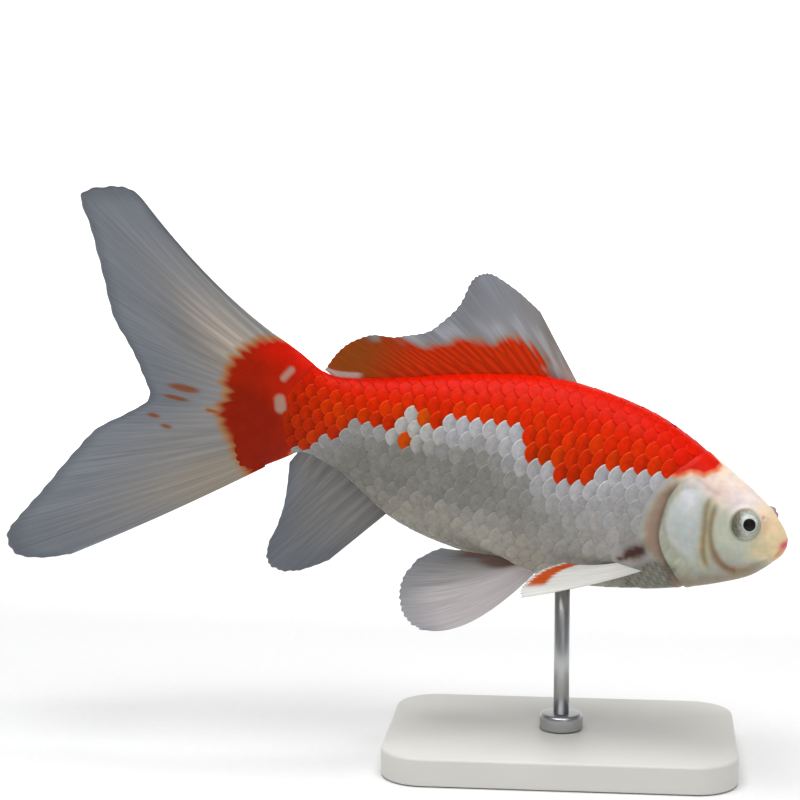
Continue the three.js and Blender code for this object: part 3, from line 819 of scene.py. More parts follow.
def armpit_paint(paint, s, h):
    """Painted shade in the hollow above the root of the pectoral fin, dark reddish brown with a
    softer brownish ring round it, and the greenish grey mottle below it."""
    below = ramp(-h - 11 - 5 * ramp(s, 36, 45), 0, 3)
    below = below * (1 - ramp(s, 46, 58)) * ramp(s, 27, 32)
    grain = 0.5 + 0.5 * mottle(s * 2.2, h * 2.2, 0.4)
    hollow = armpit_gap(s, h)
    return layered(
        paint,
        (TINT["armpit mottle"], below * (0.35 + 0.6 * grain)),
        # painted shade: a soft brownish ring round the hollow
        (TINT["painted shade round armpit"], 0.5 * bell(hollow, 2.6) * ramp(-h, 4, 9)),
        # painted shade: dark reddish brown in the hollow itself
        (TINT["armpit"], 0.9 * (1 - ramp(hollow, 0.3, 1.7))),
    )


def scarlet_paint(looks, s, h, top):
    """The scarlet of the mantle: brightest along the back, darker at the root of the tail."""
    paint = tinted(np.array(looks.mantle_low), looks.mantle, top)
    return tinted(paint, looks.tail_patch, root_shade(s, h))


def body_paint(looks, s, w, h):
    """The whole skin's colours: the face in front, pearl flanks and belly behind it, and the
    scarlet mantle with its amber fringe over both."""
    marks = face_marks(s, w, h)
    paint = face_paint(looks, marks, s, w, h)
    flank = tinted(np.array(looks.flank), looks.belly, 1 - ramp(marks["up"], -0.9, -0.2))
    paint = paint + (flank - paint) * ramp(marks["shoulder"], -0.6, 1.2)[..., None]
    paint = armpit_paint(paint, s, h)
    depth = mantle_depth(s, w, h) + 0.3 * mottle(s * 1.1, h * 1.1, 0.8)
    paint = tinted(paint, looks.fringe, 0.85 * bell(depth + 0.1, 0.9))
    top = ramp(marks["up"], 0.3, 0.95)
    scarlet = 0.93 * scarlet_paint(looks, s, h, top)
    paint = tinted(paint, scarlet, ramp(depth, -0.5, 1.0))
    return tinted(paint, looks.pale_mark, 0.85 * pale_marks(s, w, h))


# ---- the skin ----

SKIN_AROUND = 288  # points in each ring
COAT_DEPTH = 0.6  # millimetres of scales over the skin

# Where the scales begin behind the head, as a station for each height.
scales_front = through([
    (-34, 38), (-25.2, 41), (-20, 46.5), (-17, 50), (-13, 50.5), (-10, 46.6), (-7.5, 44),
    (-1.5, 43.9), (5.6, 43.3), (12.6, 40.2), (17.6, 36), (22.4, 32.1), (30, 29),
])


def scales_rear(h):
    """Where the scales end on the tail stalk: a line that bows towards the tail."""
    return 166 - 0.03 * (h - 1) ** 2


def skin_stations():
    """Stations of the skin's rings: close together at the snout, every 0.2 mm over the head,
    every 1.8 mm along the trunk and every 0.5 mm over the root of the tail."""
    snout = 6 * (np.arange(1, 37) / 36) ** 2
    head = np.arange(6.2, 46, 0.2)
    trunk = np.linspace(46.5, 158, 62)
    tail_root = np.linspace(158.6, SKIN_END, 48)
    return np.concatenate([snout, head, trunk, tail_root])


def skin_shape(looks):
    """The skin's points, in straight-fish millimetres, and its colours: rings of the body moved
    out along its normals by the relief of the face, or in by the depth of the scales."""
    s, angle = np.meshgrid(skin_stations(), np.arange(SKIN_AROUND) / SKIN_AROUND * 2 * np.pi,
                           indexing="ij")
    points = surface(s, angle)
    w, h = points[..., 1], points[..., 2]
    marks = face_marks(s, w, h)
    under_scales = ramp(s - scales_front(h), -1, 3) * (1 - ramp(s - scales_rear(h), -2, 2))
    lift = face_relief(marks, s, w, h) * (1 - under_scales) - COAT_DEPTH * under_scales
    lift *= ramp(s, 0, 1.2)
    paint = body_paint(looks, s, w, h)
    return points + outward(s, angle) * lift[..., None], paint


class GOLDFISH_OT_skin(bpy.types.Operator):
    """One skin over the whole body, with the face's folds, in place of the parts of flesh"""

    bl_idname = "goldfish.skin"
    bl_label = "Skin"

    def execute(self, context):
        looks = context.scene.goldfish_body
        points, paint = skin_shape(looks)
        rows, columns = points.shape[:2]
        ends = np.array([[0, 0, SNOUT_HEIGHT], [SKIN_END + 0.3, 0, widest(SKIN_END)]])
        points = np.concatenate([points.reshape(-1, 3), ends])
        paint = np.concatenate([paint.reshape(-1, 3), paint[0, :1], paint[-1, :1]])
        build_piece("skin", pose(points), closed_faces(rows, columns), skin_material(),
                    FLESH, paint)
        return {"FINISHED"}


# ---- the scales ----

# A scale's outline: more points round the free rear edge than at the buried front.
SCALE_TURNS = np.radians([0, 20, 40, 62, 86, 128, 180, 232, 274, 298, 320, 340])
SCALE_RINGS = np.array([0.42, 0.84, 1.0])
SCALE_AROUND = len(SCALE_TURNS)
OUTER_RING = slice(SCALE_AROUND * (len(SCALE_RINGS) - 1), SCALE_AROUND * len(SCALE_RINGS))
# How far a scale reaches from its middle: forwards and backwards in pitches, and up and down
# in row heights.
SCALE_FRONT, SCALE_REAR, SCALE_TALL = 0.85, 0.75, 0.76
SCALE_LENGTH = 2.13  # from front to rear, in reaches to the rear
FREE_EDGE_DEPTH = 0.12  # how far under the plain body the free edge lies
SKIN_CLEARANCE = 0.08  # the least height over the skin
UNEVENNESS = 0.05  # how much the scales differ in height

# The bake map: a patch for each scale, at its root's place on the body's length and girth.
BAKE_LENGTH = 200  # millimetres of fish in the width of the map
BAKE_PATCH = 0.003  # width of a patch
PATCH_SPAN = 8  # millimetres of scale in the width of a patch
RING_CENTRE = 6.0  # the growth rings run round a point this far in front of a scale's middle

row_height = through([(30, 4.6), (60, 5.0), (90, 5.0), (120, 4.4), (157, 3.6), (175, 3.5)])


ARC_STATIONS = 190  # millimetres of fish in the table of angles
ARC_REACH = 60  # millimetres round the body, to each side of the lateral line
ARC_STEP = 0.25


def arc_table():
    """Angles round the body by distance. For every station of whole millimetres the distance
    along the surface from the lateral line is summed up in small turns, then turned into the
    angle at every step of distance."""
    stations = np.arange(0, float(ARC_STATIONS))
    angles = np.linspace(-np.pi / 2 - 1.2, np.pi / 2 + 1.2, 901)
    points = surface(stations[:, None], angles)[..., 1:]
    steps = np.linalg.norm(np.diff(points, axis=1), axis=-1)
    arcs = np.pad(np.cumsum(steps, axis=1), ((0, 0), (1, 0)))
    rise = (lateral_line(stations) - widest(stations)) / (back(stations) - widest(stations))
    line = np.arcsin(np.clip(rise, -0.9, 0.9))
    distances = np.arange(-ARC_REACH, ARC_REACH + ARC_STEP, ARC_STEP)
    return np.stack([
        np.interp(distances + np.interp(line[i], angles, arcs[i]), arcs[i], angles)
        for i in range(len(stations))
    ])


def angle_at(table, s, arc):
    """The angle round the body at a distance above the lateral line, read from the table
    between its nearest four values."""
    i = np.clip(s, 0, ARC_STATIONS - 1.1)
    j = np.clip((arc + ARC_REACH) / ARC_STEP, 0, table.shape[1] - 1.001)
    i0, j0 = i.astype(int), j.astype(int)
    u, v = i - i0, j - j0
    low = table[i0, j0] * (1 - v) + table[i0, j0 + 1] * v
    high = table[i0 + 1, j0] * (1 - v) + table[i0 + 1, j0 + 1] * v
    return low * (1 - u) + high * u


def scale_centres(coat, table):
    """Station and row of every scale on the left side. Columns follow one another at the pitch,
    which shrinks towards the tail, and every second row is set half a pitch back. A scale stays
    if it lies between the gill opening and the tail fin and on its own half of the body."""
    pitch = coat.pitch / MM
    columns = np.arange(0, 36, 0.5)
    station = 28 + pitch * columns - 0.0025 * pitch * columns ** 2
    rows = np.arange(-11, 10)
    column, row = np.meshgrid(np.arange(len(columns)), rows, indexing="ij")
    keep = (column + row) % 2 == 0
    s, row = station[column[keep]], row[keep]
    angle = angle_at(table, s, row * row_height(s))
    h = surface(s, angle)[..., 2]
    keep = (np.abs(angle) < np.pi / 2 + 0.05)
    keep &= (s > scales_front(h) - 0.5) & (s < scales_rear(h) - 1)
    return s[keep], row[keep]


def pearl_colours(looks, s, h, depth, chance, other):
    """The body, the painted highlight of the rim and the painted shade of pearl scales. Those
    right below the mantle are the brightest, and those of the middle and the rear of the flank
    the dullest, darkened towards the tail by painted shade; painted light from below brightens
    the lower middle flank."""
    tone = mottle(s / 8, h / 8, 1.3)
    near = ramp(depth + 1.5 * tone, -12, 0) * (1 - 0.55 * ramp(s, 105, 130))
    # painted shade: the middle and rear of the flank darkened towards the tail, less so low down
    rear_shade = ramp(s, 58, 100) * (0.25 + 0.75 * ramp(h, -20, -11)) + 0.6 * ramp(s, 112, 145)
    # painted light: the lower middle flank brightened, as if lit from below
    painted_bounce_light = 0.18 * bell((s - 97) / 14, 1) * ramp(-h, 14, 19)
    pearl = layered(
        np.array(looks.flank),
        (looks.belly, 1 - ramp(share_up(s, h), -0.9, -0.1)),
        (TINT["cool pearl"], 0.25 * ramp(tone, 0, 0.8)),
        (TINT["warm pearl"], 0.25 * ramp(-tone, 0, 0.8)),
        (looks.shaded_rear_flank, 0.9 * rear_shade * (1 - near)),
        (TINT["bright pearl"], 0.55 * near),
    )
    pearl = pearl * (0.92 + 0.16 * chance + painted_bounce_light)[..., None]
    # painted highlight: the rim lightened, most of all right below the mantle
    rim = tinted(pearl, TINT["painted highlight on pearl rim"], 0.05 + 0.07 * other + 0.4 * near * (0.3 + other))
    return pearl, rim, tinted(pearl * 0.93, TINT["pearl shade"], 0.42 * near)


def scarlet_colours(looks, s, h, depth, chance, other):
    """The body, the painted highlight of the rim and the painted shade of scarlet scales. Down
    the flank they vary from orange to deep red and are darkest along the mantle's edge."""
    top = ramp(share_up(s, h), 0.3, 0.95)
    plain = (1 - top) * (1 - 0.6 * ramp(s, 150, 166))
    scarlet = layered(
        scarlet_paint(looks, s, h, top),
        (TINT["orange scarlet"], (0.2 + 0.4 * ramp(chance, 0.3, 1)) * plain),
        (TINT["deep scarlet"], 0.2 * ramp(other, 0.4, 1) * plain),
    )
    # painted highlight: an orange glint along the rim of the lower scales
    rim = tinted(scarlet, TINT["painted highlight on scarlet rim"], (0.15 + 0.25 * chance) * plain)
    scarlet = tinted(scarlet, TINT["low scarlet"], 0.3 * (1 - ramp(depth, 0, 5)) * plain)
    return scarlet, rim, scarlet * (0.62 + 0.28 * top)[..., None]


def scale_colours(looks, s, w, h, number):
    """Three colours for each scale: its body, the painted highlight along its rim and the painted
    shade where it comes out from under the scale in front. A scale is scarlet or pearl as its
    middle lies in or out of the mantle. The scales nearest the stray places are orange, and
    those beside them pale."""
    depth = mantle_depth(s, w, h)
    chance, other = scatter(number, 0.7), scatter(number, 4.2)
    scarlet = scarlet_colours(looks, s, h, depth, chance, other)
    pearl, pearl_rim_highlight, pearl_shade = pearl_colours(looks, s, h, depth, chance, other)
    left_side_off = 1000 * (w > 0)  # the strays are on the right
    places = [np.hypot(s - x, h - y) + left_side_off for x, y in STRAY_SCALES]
    strays = [place.argmin() for place in places if place.min() < STRAY_REACH]
    stray = np.isin(np.arange(len(s)), strays)[..., None]
    beside = bell(np.min(places, axis=0), 7.5) * (h > 0)
    # painted highlight of the rims beside the stray scales, paler there
    pearl_rim_highlight = tinted(pearl_rim_highlight, TINT["rim highlight beside strays"], 0.5 * beside)
    pearl = tinted(pearl, TINT["pearl beside strays"], 0.6 * beside)
    picks = []
    # a stray scale's rim is painted 15 % lighter as painted highlight, and its shade 30 % darker
    # as painted shade
    for red, pale, share in zip(scarlet, (pearl, pearl_rim_highlight, pearl_shade), (1.0, 1.15, 0.7)):
        colour = np.where(depth[..., None] > 0, red, pale)
        colour = np.where(stray, np.array(looks.stray_scale) * share, colour)
        # the armpit's painted shade also lies over the scales
        picks.append(armpit_paint(colour, s, h))
    return picks


def with_underside(values):
    """Values for the upper points of each plate, with those of its outer ring and its middle
    given again for the underside."""
    return np.concatenate([values, values[:, OUTER_RING], values[:, -1:]], axis=1)


def plate_faces(count):
    """The faces of that many closed plates: rings and a middle above, a ring and a middle
    below, and a wall between the two outer rings."""
    first = np.arange(SCALE_AROUND)
    centre = SCALE_AROUND * len(SCALE_RINGS)
    rim = first + OUTER_RING.start
    low = first + centre + 1
    quads = np.concatenate([
        grid_faces(len(SCALE_RINGS), SCALE_AROUND, wrap=True),
        np.stack([rim, np.roll(rim, -1), np.roll(low, -1), low], -1),
    ])
    fans = np.concatenate([
        fan_faces(centre, first)[:, ::-1],
        fan_faces(centre + SCALE_AROUND + 1, low),
    ])
    points_each = centre + SCALE_AROUND + 2
    shift = (np.arange(count) * points_each)[:, None, None]
    return [(quads + shift).reshape(-1, 4), (fans + shift).reshape(-1, 3)]


def scale_coat(looks, coat, table, side):
    """Points, faces, colours, plate places and bake places of all the scales on one side.

    A scale is a closed plate: rings of a rounded outline, longer in front, that reach along and
    round the body from its middle. Its front lies on the skin, it rises evenly to its free rear
    edge, and its underside lies a plate's thickness below.
    """
    s0, row = scale_centres(coat, table)
    v0 = row * row_height(s0)
    pitch = coat.pitch / MM * (0.95 - 0.12 * ramp(s0, 110, 165))
    front, rear, tall = SCALE_FRONT * pitch, SCALE_REAR * pitch, SCALE_TALL * row_height(s0)
    turn = np.append(np.tile(SCALE_TURNS, len(SCALE_RINGS)), 0)
    ring = np.append(np.repeat(SCALE_RINGS, SCALE_AROUND), 0)
    run = ring * np.where(np.cos(turn) > 0, rear[:, None], front[:, None]) * np.cos(turn)
    rise = ring * tall[:, None] * np.sign(np.sin(turn)) * np.abs(np.sin(turn)) ** 1.15
    s = s0[:, None] + run
    angle = angle_at(table, s, v0[:, None] + rise)
    normal = outward(s, angle)
    uneven = UNEVENNESS * (scatter(np.arange(len(s0)), 2.1) - 0.5)
    slope = coat.rise / MM * (run / rear[:, None] - 1) / SCALE_LENGTH
    lift = slope - FREE_EDGE_DEPTH + uneven[:, None] - 0.04 * ring ** 4
    lift = np.maximum(lift, SKIN_CLEARANCE - COAT_DEPTH)
    points = with_underside(surface(s, angle) + normal * lift[..., None])
    points[:, len(ring):] -= with_underside(normal)[:, len(ring):] * (coat.thickness / MM)
    points[..., 1] *= side

    shown = surface(s0 + 0.25 * pitch, angle_at(table, s0 + 0.25 * pitch, v0))
    number = np.arange(len(s0)) + 1000.0 * (side < 0)
    body, edge, shade = scale_colours(looks, shown[..., 0], side * shown[..., 1],
                                      shown[..., 2], number)
    # painted highlight: the free rear edge takes the edge colour, the rim's painted highlight
    free = ramp(ring, 0.84, 1.0) * ramp(np.cos(turn), -0.1, 0.4)
    # painted shade: the front, where the scale comes out from under the one before it, takes the
    # shade colour
    hidden = 1 - ramp(run / rear[:, None], -0.35, 0.45)
    paint = body[:, None] + (shade - body)[:, None] * hidden[..., None]
    paint = with_underside(paint + (edge[:, None] - paint) * free[:, None])

    plate = with_underside(np.stack([run, rise, np.zeros_like(run)], -1))
    root_angle = angle_at(table, s0, v0) * side + (side < 0) * np.pi
    root = np.stack([s0 / BAKE_LENGTH, np.mod(root_angle / (2 * np.pi), 1)], -1)
    bake = root[:, None] + plate[..., :2] / PATCH_SPAN * BAKE_PATCH
    return (pose(points.reshape(-1, 3)), plate_faces(len(s0)), paint.reshape(-1, 3),
            (plate + [RING_CENTRE, 0, 0]).reshape(-1, 3), bake.reshape(-1, 2))


class GOLDFISH_OT_scales(bpy.types.Operator):
    """Overlapping scales over the trunk and tail stalk, one joined mesh for each side"""

    bl_idname = "goldfish.scales"
    bl_label = "Scales"

    def execute(self, context):
        looks = context.scene.goldfish_body
        material = scale_material()
        table = arc_table()
        for name, side in SIDES.items():
            points, faces, paint, plate, bake = scale_coat(
                looks, context.scene.goldfish_coat, table, side)
            build_piece(f"scales_{name}", points, faces, material,
                        ["trunk_front", "trunk_rear", "tail_stalk"], paint,
                        {"Plate": plate}, bake)
        return {"FINISHED"}


# ---- the fins ----

def ray(s, h, tip_s, tip_h):
    """A ray in the fish's middle plane, from its root to its tip."""
    return [(s, 0, h), (tip_s, 0, tip_h)]


DORSAL_RAYS = [ray(s, back(s) - 3, tip_s, tip_h) for s, tip_s, tip_h in [
    (75.4, 95.6, 51), (78.8, 104, 55.4), (83, 113.5, 58.6), (88, 118.8, 56), (94.5, 121.2, 46.4),
    (103, 127.4, 36.9), (112.5, 137, 31.9), (122, 146.6, 29.8), (131, 153.6, 23.8)]]
DORSAL_RAYS.append(ray(139, 7, 157.4, 15.4))
ANAL_RAYS = [ray(s, belly(s) + 3, tip_s, tip_h) for s, tip_s, tip_h in [
    (124.8, 140.8, -45.2), (128.2, 147.8, -50.2), (132, 154, -52.6), (136, 159.4, -51.6),
    (140.5, 161.2, -46), (146, 159.6, -37), (152, 159.4, -28), (157.5, 160.8, -17)]]
TAIL_RAYS = [
    ray(168, 19.4, 225.6, 50.8), ray(169.2, 16.8, 232, 54.6), ray(170, 14.2, 240.5, 54.2),
    ray(170.6, 11.8, 249.6, 49), ray(171, 9.4, 243, 39), ray(171, 7, 235.6, 26.8),
    ray(171, 4.5, 228.2, 14.6), ray(171, 2.5, 221, 7), ray(171, 0.6, 214.6, -0.8),
    ray(171, -1, 210.6, -8.5), ray(171, -3.5, 217, -16), ray(171, -6, 226.4, -24.4),
    ray(171, -8.8, 232, -34.4), ray(171, -11.8, 238.4, -47.6), ray(170.8, -14.6, 243.6, -58.4),
    ray(170.4, -16.8, 246.6, -66.4), ray(169.8, -18.4, 241.8, -71.4),
    ray(169, -19.4, 233, -70.4), ray(168, -20.4, 224, -66.6),
]
PECTORAL_RAYS = [
    [(39.4, 10, -16.9), (76.5, 27, -34.2)], [(40.2, 10, -16.1), (77.6, 25.5, -32.2)],
    [(41.2, 10, -15.4), (76, 23.5, -28.6)], [(42.1, 10, -14.7), (72, 21, -24.8)],
    [(43, 10, -14.1), (66, 19, -21.4)],
]
PELVIC_RAYS = [
    [(74, 5, -28.5), (104, 19.5, -54.2)], [(75.4, 5, -28.4), (108, 20, -54.2)],
    [(76.8, 5.2, -28.3), (112.8, 20, -51.6)], [(78.2, 5.4, -28.1), (115.8, 19.5, -46.4)],
    [(79.6, 5.6, -27.9), (116.3, 18.8, -40)], [(81, 5.8, -27.6), (113, 17.5, -33)],
    [(82.4, 6, -27.3), (106.8, 16, -28)],
]
PELVIC_FOLD = {"left": 0.3, "right": 0.0}  # how far the rays are drawn together at the tips

# The tail patch and the dorsal band, in station and height, each closed inside the body.
TAIL_PATCH = np.array([
    (173.4, 21.6), (179.8, 19.6), (184.3, 15.5), (187.6, 9.9), (188.3, 2.4), (186, 0),
    (188, -6.5), (184.4, -11.9), (181.2, -14.9), (177.9, -19.3), (172.9, -24), (150, -40),
    (150, 40),
], float)
DORSAL_BAND = np.array([
    (89, 28), (89.2, 36.2), (94.4, 39.4), (101.5, 40.9), (104.1, 39.2), (108, 35.7),
    (113.8, 36.7), (118.7, 34.7), (123.4, 31.7), (129, 29.9), (135.3, 30.4), (139.9, 32.4),
    (142, 29.8), (144.5, 27.6), (148.1, 29), (160, 22), (160, 15), (140, 13), (89, 20),
], float)


def fan(rays):
    """A point of the membrane at a share across the rays and a share along them. Roots and
    tips are smooth curves through the given ones, and each ray is straight between them."""
    ends = np.moveaxis(np.array(rays, float), 0, -1)
    number = np.linspace(0, 1, len(rays))
    roots, tips = ([through(np.stack([number, axis], -1)) for axis in end] for end in ends)

    def point(across, along):
        root = np.stack([curve(across) for curve in roots], -1)
        tip = np.stack([curve(across) for curve in tips], -1)
        return root + (tip - root) * along[..., None]

    return point


def ray_ridges(across, along, count):
    """Height of the bony rays from 0 to 1: a raised cosine across the fin. Each ray forks in
    two over its middle, and again near its end."""
    phase = 2 * np.pi * count * across
    forks = [(0.5 + 0.5 * np.cos(phase * k)) ** 2 for k in (1, 2, 4)]
    first, second = ramp(along, 0.3, 0.45), ramp(along, 0.62, 0.78)
    ridges = forks[0] + (forks[1] - forks[0]) * first
    return ridges + (forks[2] - ridges) * second


# What the making of a fin gives: its mesh, the membrane's middle surface, the shares across and
# along the rays, the height of the rays, and the place in the membrane in millimetres.
Fin = namedtuple("Fin", "points faces middle across along ridges place")


def fin_shape(rays, count, samples, root, tip, ridge, wave=None, sag=None, fringe=0.0, seed=0.0):
    """A closed thin fin. The membrane is the fan of rays, bowed down by sag and moved sideways
    by wave; both faces lie half its thickness off, which thins from root to tip, swells at
    each ray and rounds off at the edges. The hind edge is scalloped between the rays. samples
    are the numbers of points across and along the rays."""
    flat = fan(rays)
    u, v = np.meshgrid(*(np.linspace(0, 1, number) for number in samples), indexing="ij")
    scallop = 0.5 - 0.5 * np.cos(2 * np.pi * count * 2 * u)
    ragged = mottle(u * 40, u * 17, seed)
    reach = 1 - fringe * (0.5 * scallop + 0.5 + 0.5 * ragged) * bell(1 - v, 0.25)
    middle = flat(u, v * reach)
    if sag is not None:
        middle[..., 2] += sag(u) * 4 * v * (1 - v)
    if wave is not None:
        middle[..., 1] += wave(u, v)
    normal = unit(np.cross(np.gradient(middle, axis=0), np.gradient(middle, axis=1)))
    ridges = ray_ridges(u, v, count)
    half = (root + (tip - root) * v ** 0.6) / 2
    half = half + ridge * ridges * (1 - 0.6 * v)
    edge = np.minimum(np.minimum(u, 1 - u) / 0.012, (1 - v) / 0.03)
    half = half * (0.25 + 0.75 * np.sqrt(1 - (1 - np.clip(edge, 0, 1)) ** 2))
    both_sides = [middle + normal * half[..., None], middle - normal * half[..., None]]
    points = np.concatenate([face.reshape(-1, 3) for face in both_sides])
    number = np.arange(u.size).reshape(samples)
    rim = np.concatenate([number[:, 0], number[-1, 1:], number[-2::-1, -1], number[0, -2:0:-1]])
    near_side = grid_faces(*samples)
    wall = np.stack([rim, rim + u.size, np.roll(rim, -1) + u.size, np.roll(rim, -1)], -1)
    faces = [np.concatenate([near_side, near_side[:, ::-1] + u.size, wall])]
    width = np.linalg.norm(np.diff(middle[:, -1], axis=0), axis=-1).sum()
    length = np.linalg.norm(middle[samples[0] // 2, -1] - middle[samples[0] // 2, 0])
    place = np.stack([u * width, v * length, np.full_like(u, seed)], -1)
    return Fin(points, faces, middle, u, v, ridges, place)


def streaks(u, v, phase):
    """Uneven lines along the rays, from -1 to 1, that fork slowly towards the edge."""
    return mottle(u * 60 + phase, v * 1.4 + u * 23, phase)


def membrane_paint(looks, fin, seed):
    """The grey of a membrane, lighter on its rays near the root and cooler at its edge."""
    u, v = fin.across, fin.along
    paint = layered(
        np.broadcast_to(np.array(looks.membrane), (*u.shape, 3)),
        (looks.fin_ray, 0.30 * fin.ridges * (1 - 0.8 * v)),
        (looks.fin_edge, 0.7 * ramp(v, 0.3, 1)),
    )
    band = mottle(u * 11 + seed, v * 0.9 + u * 5, seed)
    paint = paint * (1 - 0.20 * ramp(band, 0.15, 0.6) + 0.12 * ramp(-band, 0.1, 0.6))[..., None]
    return paint * (1 + 0.06 * streaks(u, v, seed))[..., None]


def both(values):
    """Values for one face of a fin, given to both."""
    flat = values.reshape(-1, values.shape[-1])
    return np.concatenate([flat, flat])


def build_fin(name, nodes, material, fin, paint, side=1):
    """Makes the piece of a fin, mirrored to the right if side is -1."""
    build_piece(name, pose(fin.points * [1, side, 1]), fin.faces, material, nodes,
                both(paint), {"Rays": both(fin.place)})


def dorsal_paint(looks, fin):
    """Grey membrane with a scarlet band along its foot, striped and frayed along the rays and
    browner at the rear, an olive front edge, pale streaks over the band and a pale last ray."""
    u, v = fin.across, fin.along
    s, h = fin.middle[..., 0], fin.middle[..., 2]
    over_back = h - back(s)
    depth = depth_inside(DORSAL_BAND, s, h) + 1.6 * streaks(u * 1.3, v * 0.6, 3.0)
    low = 1 - ramp(over_back, 0.4, 1.8)
    depth += 4 * low * ramp(s, 84, 90) * (1 - ramp(s, 141, 144))
    front_root = (1 - ramp(u, 0.04, 0.2)) * (1 - ramp(v, 0.1, 0.4))
    pale = bell((depth + 3.5) / 3, 1) * ramp(streaks(u * 0.7, v, 1.0), -0.2, 0.5)
    between = (1 - ramp(fin.ridges, 0.15, 0.6)) * (1 - ramp(s, 134, 148))
    red = layered(
        np.array(looks.fin_red),
        (TINT["dorsal rear red"], ramp(s, 126, 148)),
        (TINT["between rays"], 0.4 * between),
    )
    last_ray = ramp(s, 144, 147) * (1 - ramp(over_back, 1.2, 2.0))
    return layered(
        membrane_paint(looks, fin, 1.0),
        (TINT["front ray"], 0.6 * (1 - ramp(u, 0.08, 0.24))),
        (TINT["front root"], 0.6 * front_root),
        (TINT["dorsal streak"], 0.5 * pale * (1 - ramp(s, 136, 148))),
        (TINT["dorsal grey"], 0.35 * ramp(s, 88, 96) * (1 - ramp(s, 128, 140))),
        (looks.fringe, 0.45 * bell(depth, 1.2)),
        (red, ramp(depth, -0.8, 1.4)),
        (TINT["last ray"], 0.85 * last_ray),
    )


# Rusty flecks of the tail fin: station, height, half length and half height.
TAIL_FLECKS = [(199.6, -2.4, 6.2, 1.5), (201.6, -6.2, 5.2, 0.9), (207.6, -14, 2.6, 0.9),
               (202.6, -16.3, 2.4, 0.8)]


def tail_paint(looks, body, fin):
    """Grey membrane, creamy along the upper rays near the stalk and straw along the lower ones,
    with the scarlet tail patch frayed into it along the rays and a few small rusty flecks."""
    u, v = fin.across, fin.along
    s, h = fin.middle[..., 0], fin.middle[..., 2]
    near_stalk = 1 - ramp(v, 0.12, 0.6)
    upper = bell((u - 0.22) / 0.12, 1) * near_stalk
    paint = layered(
        membrane_paint(looks, fin, 2.0),
        (TINT["upper tail cream"], 0.85 * upper * (0.6 + 0.4 * fin.ridges)),
        (TINT["lower tail straw"], 0.55 * ramp(u, 0.62, 0.85) * near_stalk),
        (TINT["tail edge"], 0.5 * ramp(v, 0.9, 1.0)),
        (TINT["tail top"], 0.5 * (1 - ramp(u, 0.0, 0.05)) * ramp(v, 0.2, 0.5)),
    )
    for at_s, at_h, long, high in TAIL_FLECKS:
        fleck = bell(np.hypot((s - at_s) / long, (h - at_h + 0.05 * (s - at_s)) / high), 1.0)
        paint = tinted(paint, TINT["tail fleck"], 0.85 * ramp(fleck, 0.25, 0.8))
    fray = 1.1 * streaks(u * 1.6, v * 0.3, 5.0) + 0.5 * (fin.ridges - 0.5)
    depth = depth_inside(TAIL_PATCH, s, h) + fray
    tongue = bell((h + 7.2) / 1.1, 1) * ramp(s, 180, 184) * (1 - ramp(s, 190.5, 192.5))
    depth = np.maximum(depth, 5 * tongue - 4)
    return layered(
        paint,
        (looks.fringe, 0.75 * ramp(depth, -2.2, 0.2)),
        (scarlet_paint(body, s, h, ramp(h, 6, 20)), ramp(depth, -0.6, 2.4)),
    )


def pectoral_paint(looks, fin):
    """Pale membrane with an orange streak across the far end of its upper rays."""
    u, v = fin.across, fin.along
    along = v + 0.02 * streaks(u, v, 2.0)
    patch = ramp(along, 0.76, 0.82) * (1 - ramp(along, 0.95, 0.99)) * ramp(u, 0.25, 0.4)
    return layered(
        membrane_paint(looks, fin, 4.0),
        (looks.paired_fin, 0.92),
        (TINT["pectoral patch"], patch),
    )


def pelvic_paint(looks, fin):
    """Pale membrane, greyer towards its edge, with painted shade over its upper part next to the
    body that is dark reddish brown along its upper root.
    """
    u, v = fin.across, fin.along
    # painted shadow of the body along the fin's upper root
    limit = 0.6 + 0.2 * ramp(v, 0.1, 0.5)
    brown = ramp(u - limit, 0, 0.15) * (1 - ramp(v, 0.55, 0.9))
    rib = ramp(mottle(u * 18, v * 1.5 + u * 7, 2.0), 0.15, 0.6) * ramp(v, 0.25, 0.6)
    return layered(
        membrane_paint(looks, fin, 6.0),
        (looks.pelvic_fin, 0.75),
        # painted shade: the upper part, next to the body, greyer, darker towards the tip and
        # reddish brown at the root
        (TINT["painted shade on upper pelvic fin"], 0.8 * ramp(u, 0.45, 0.9)),
        (TINT["painted shadow along pelvic root"], 0.85 * brown),
        (TINT["painted shade at pelvic tip"], 0.7 * ramp(u, 0.7, 1) * ramp(v, 0.6, 1)),
        (TINT["pelvic rib"], 0.6 * rib * (0.3 + 0.7 * ramp(u, 0.25, 0.6))),
        (TINT["pelvic edge"], 0.6 * ramp(v, 0.65, 1.0)),
    )


class GOLDFISH_OT_back_and_vent_fins(bpy.types.Operator):
    """The dorsal fin and the anal fin, as thin ribbed membranes"""

    bl_idname = "goldfish.back_and_vent_fins"
    bl_label = "Dorsal and anal fins"

    def execute(self, context):
        looks = context.scene.goldfish_fins
        material = membrane_material()
        thick = looks.thickness / MM
        dorsal = fin_shape(
            DORSAL_RAYS, count=20, samples=(281, 40), root=3 * thick, tip=thick, ridge=0.045,
            wave=lambda u, v: 1.6 * v * v * np.sin(5.5 * u + 0.6), fringe=0.02, seed=1.0)
        build_fin("dorsal_membrane", ["dorsal_fin"], material, dorsal,
                  dorsal_paint(looks, dorsal))
        anal = fin_shape(
            ANAL_RAYS, count=9, samples=(181, 40), root=3 * thick, tip=thick, ridge=0.08,
            fringe=0.02, seed=3.0)
        build_fin("anal_membrane", ["anal_fin"], material, anal,
                  0.78 * membrane_paint(looks, anal, 3.0))
        return {"FINISHED"}


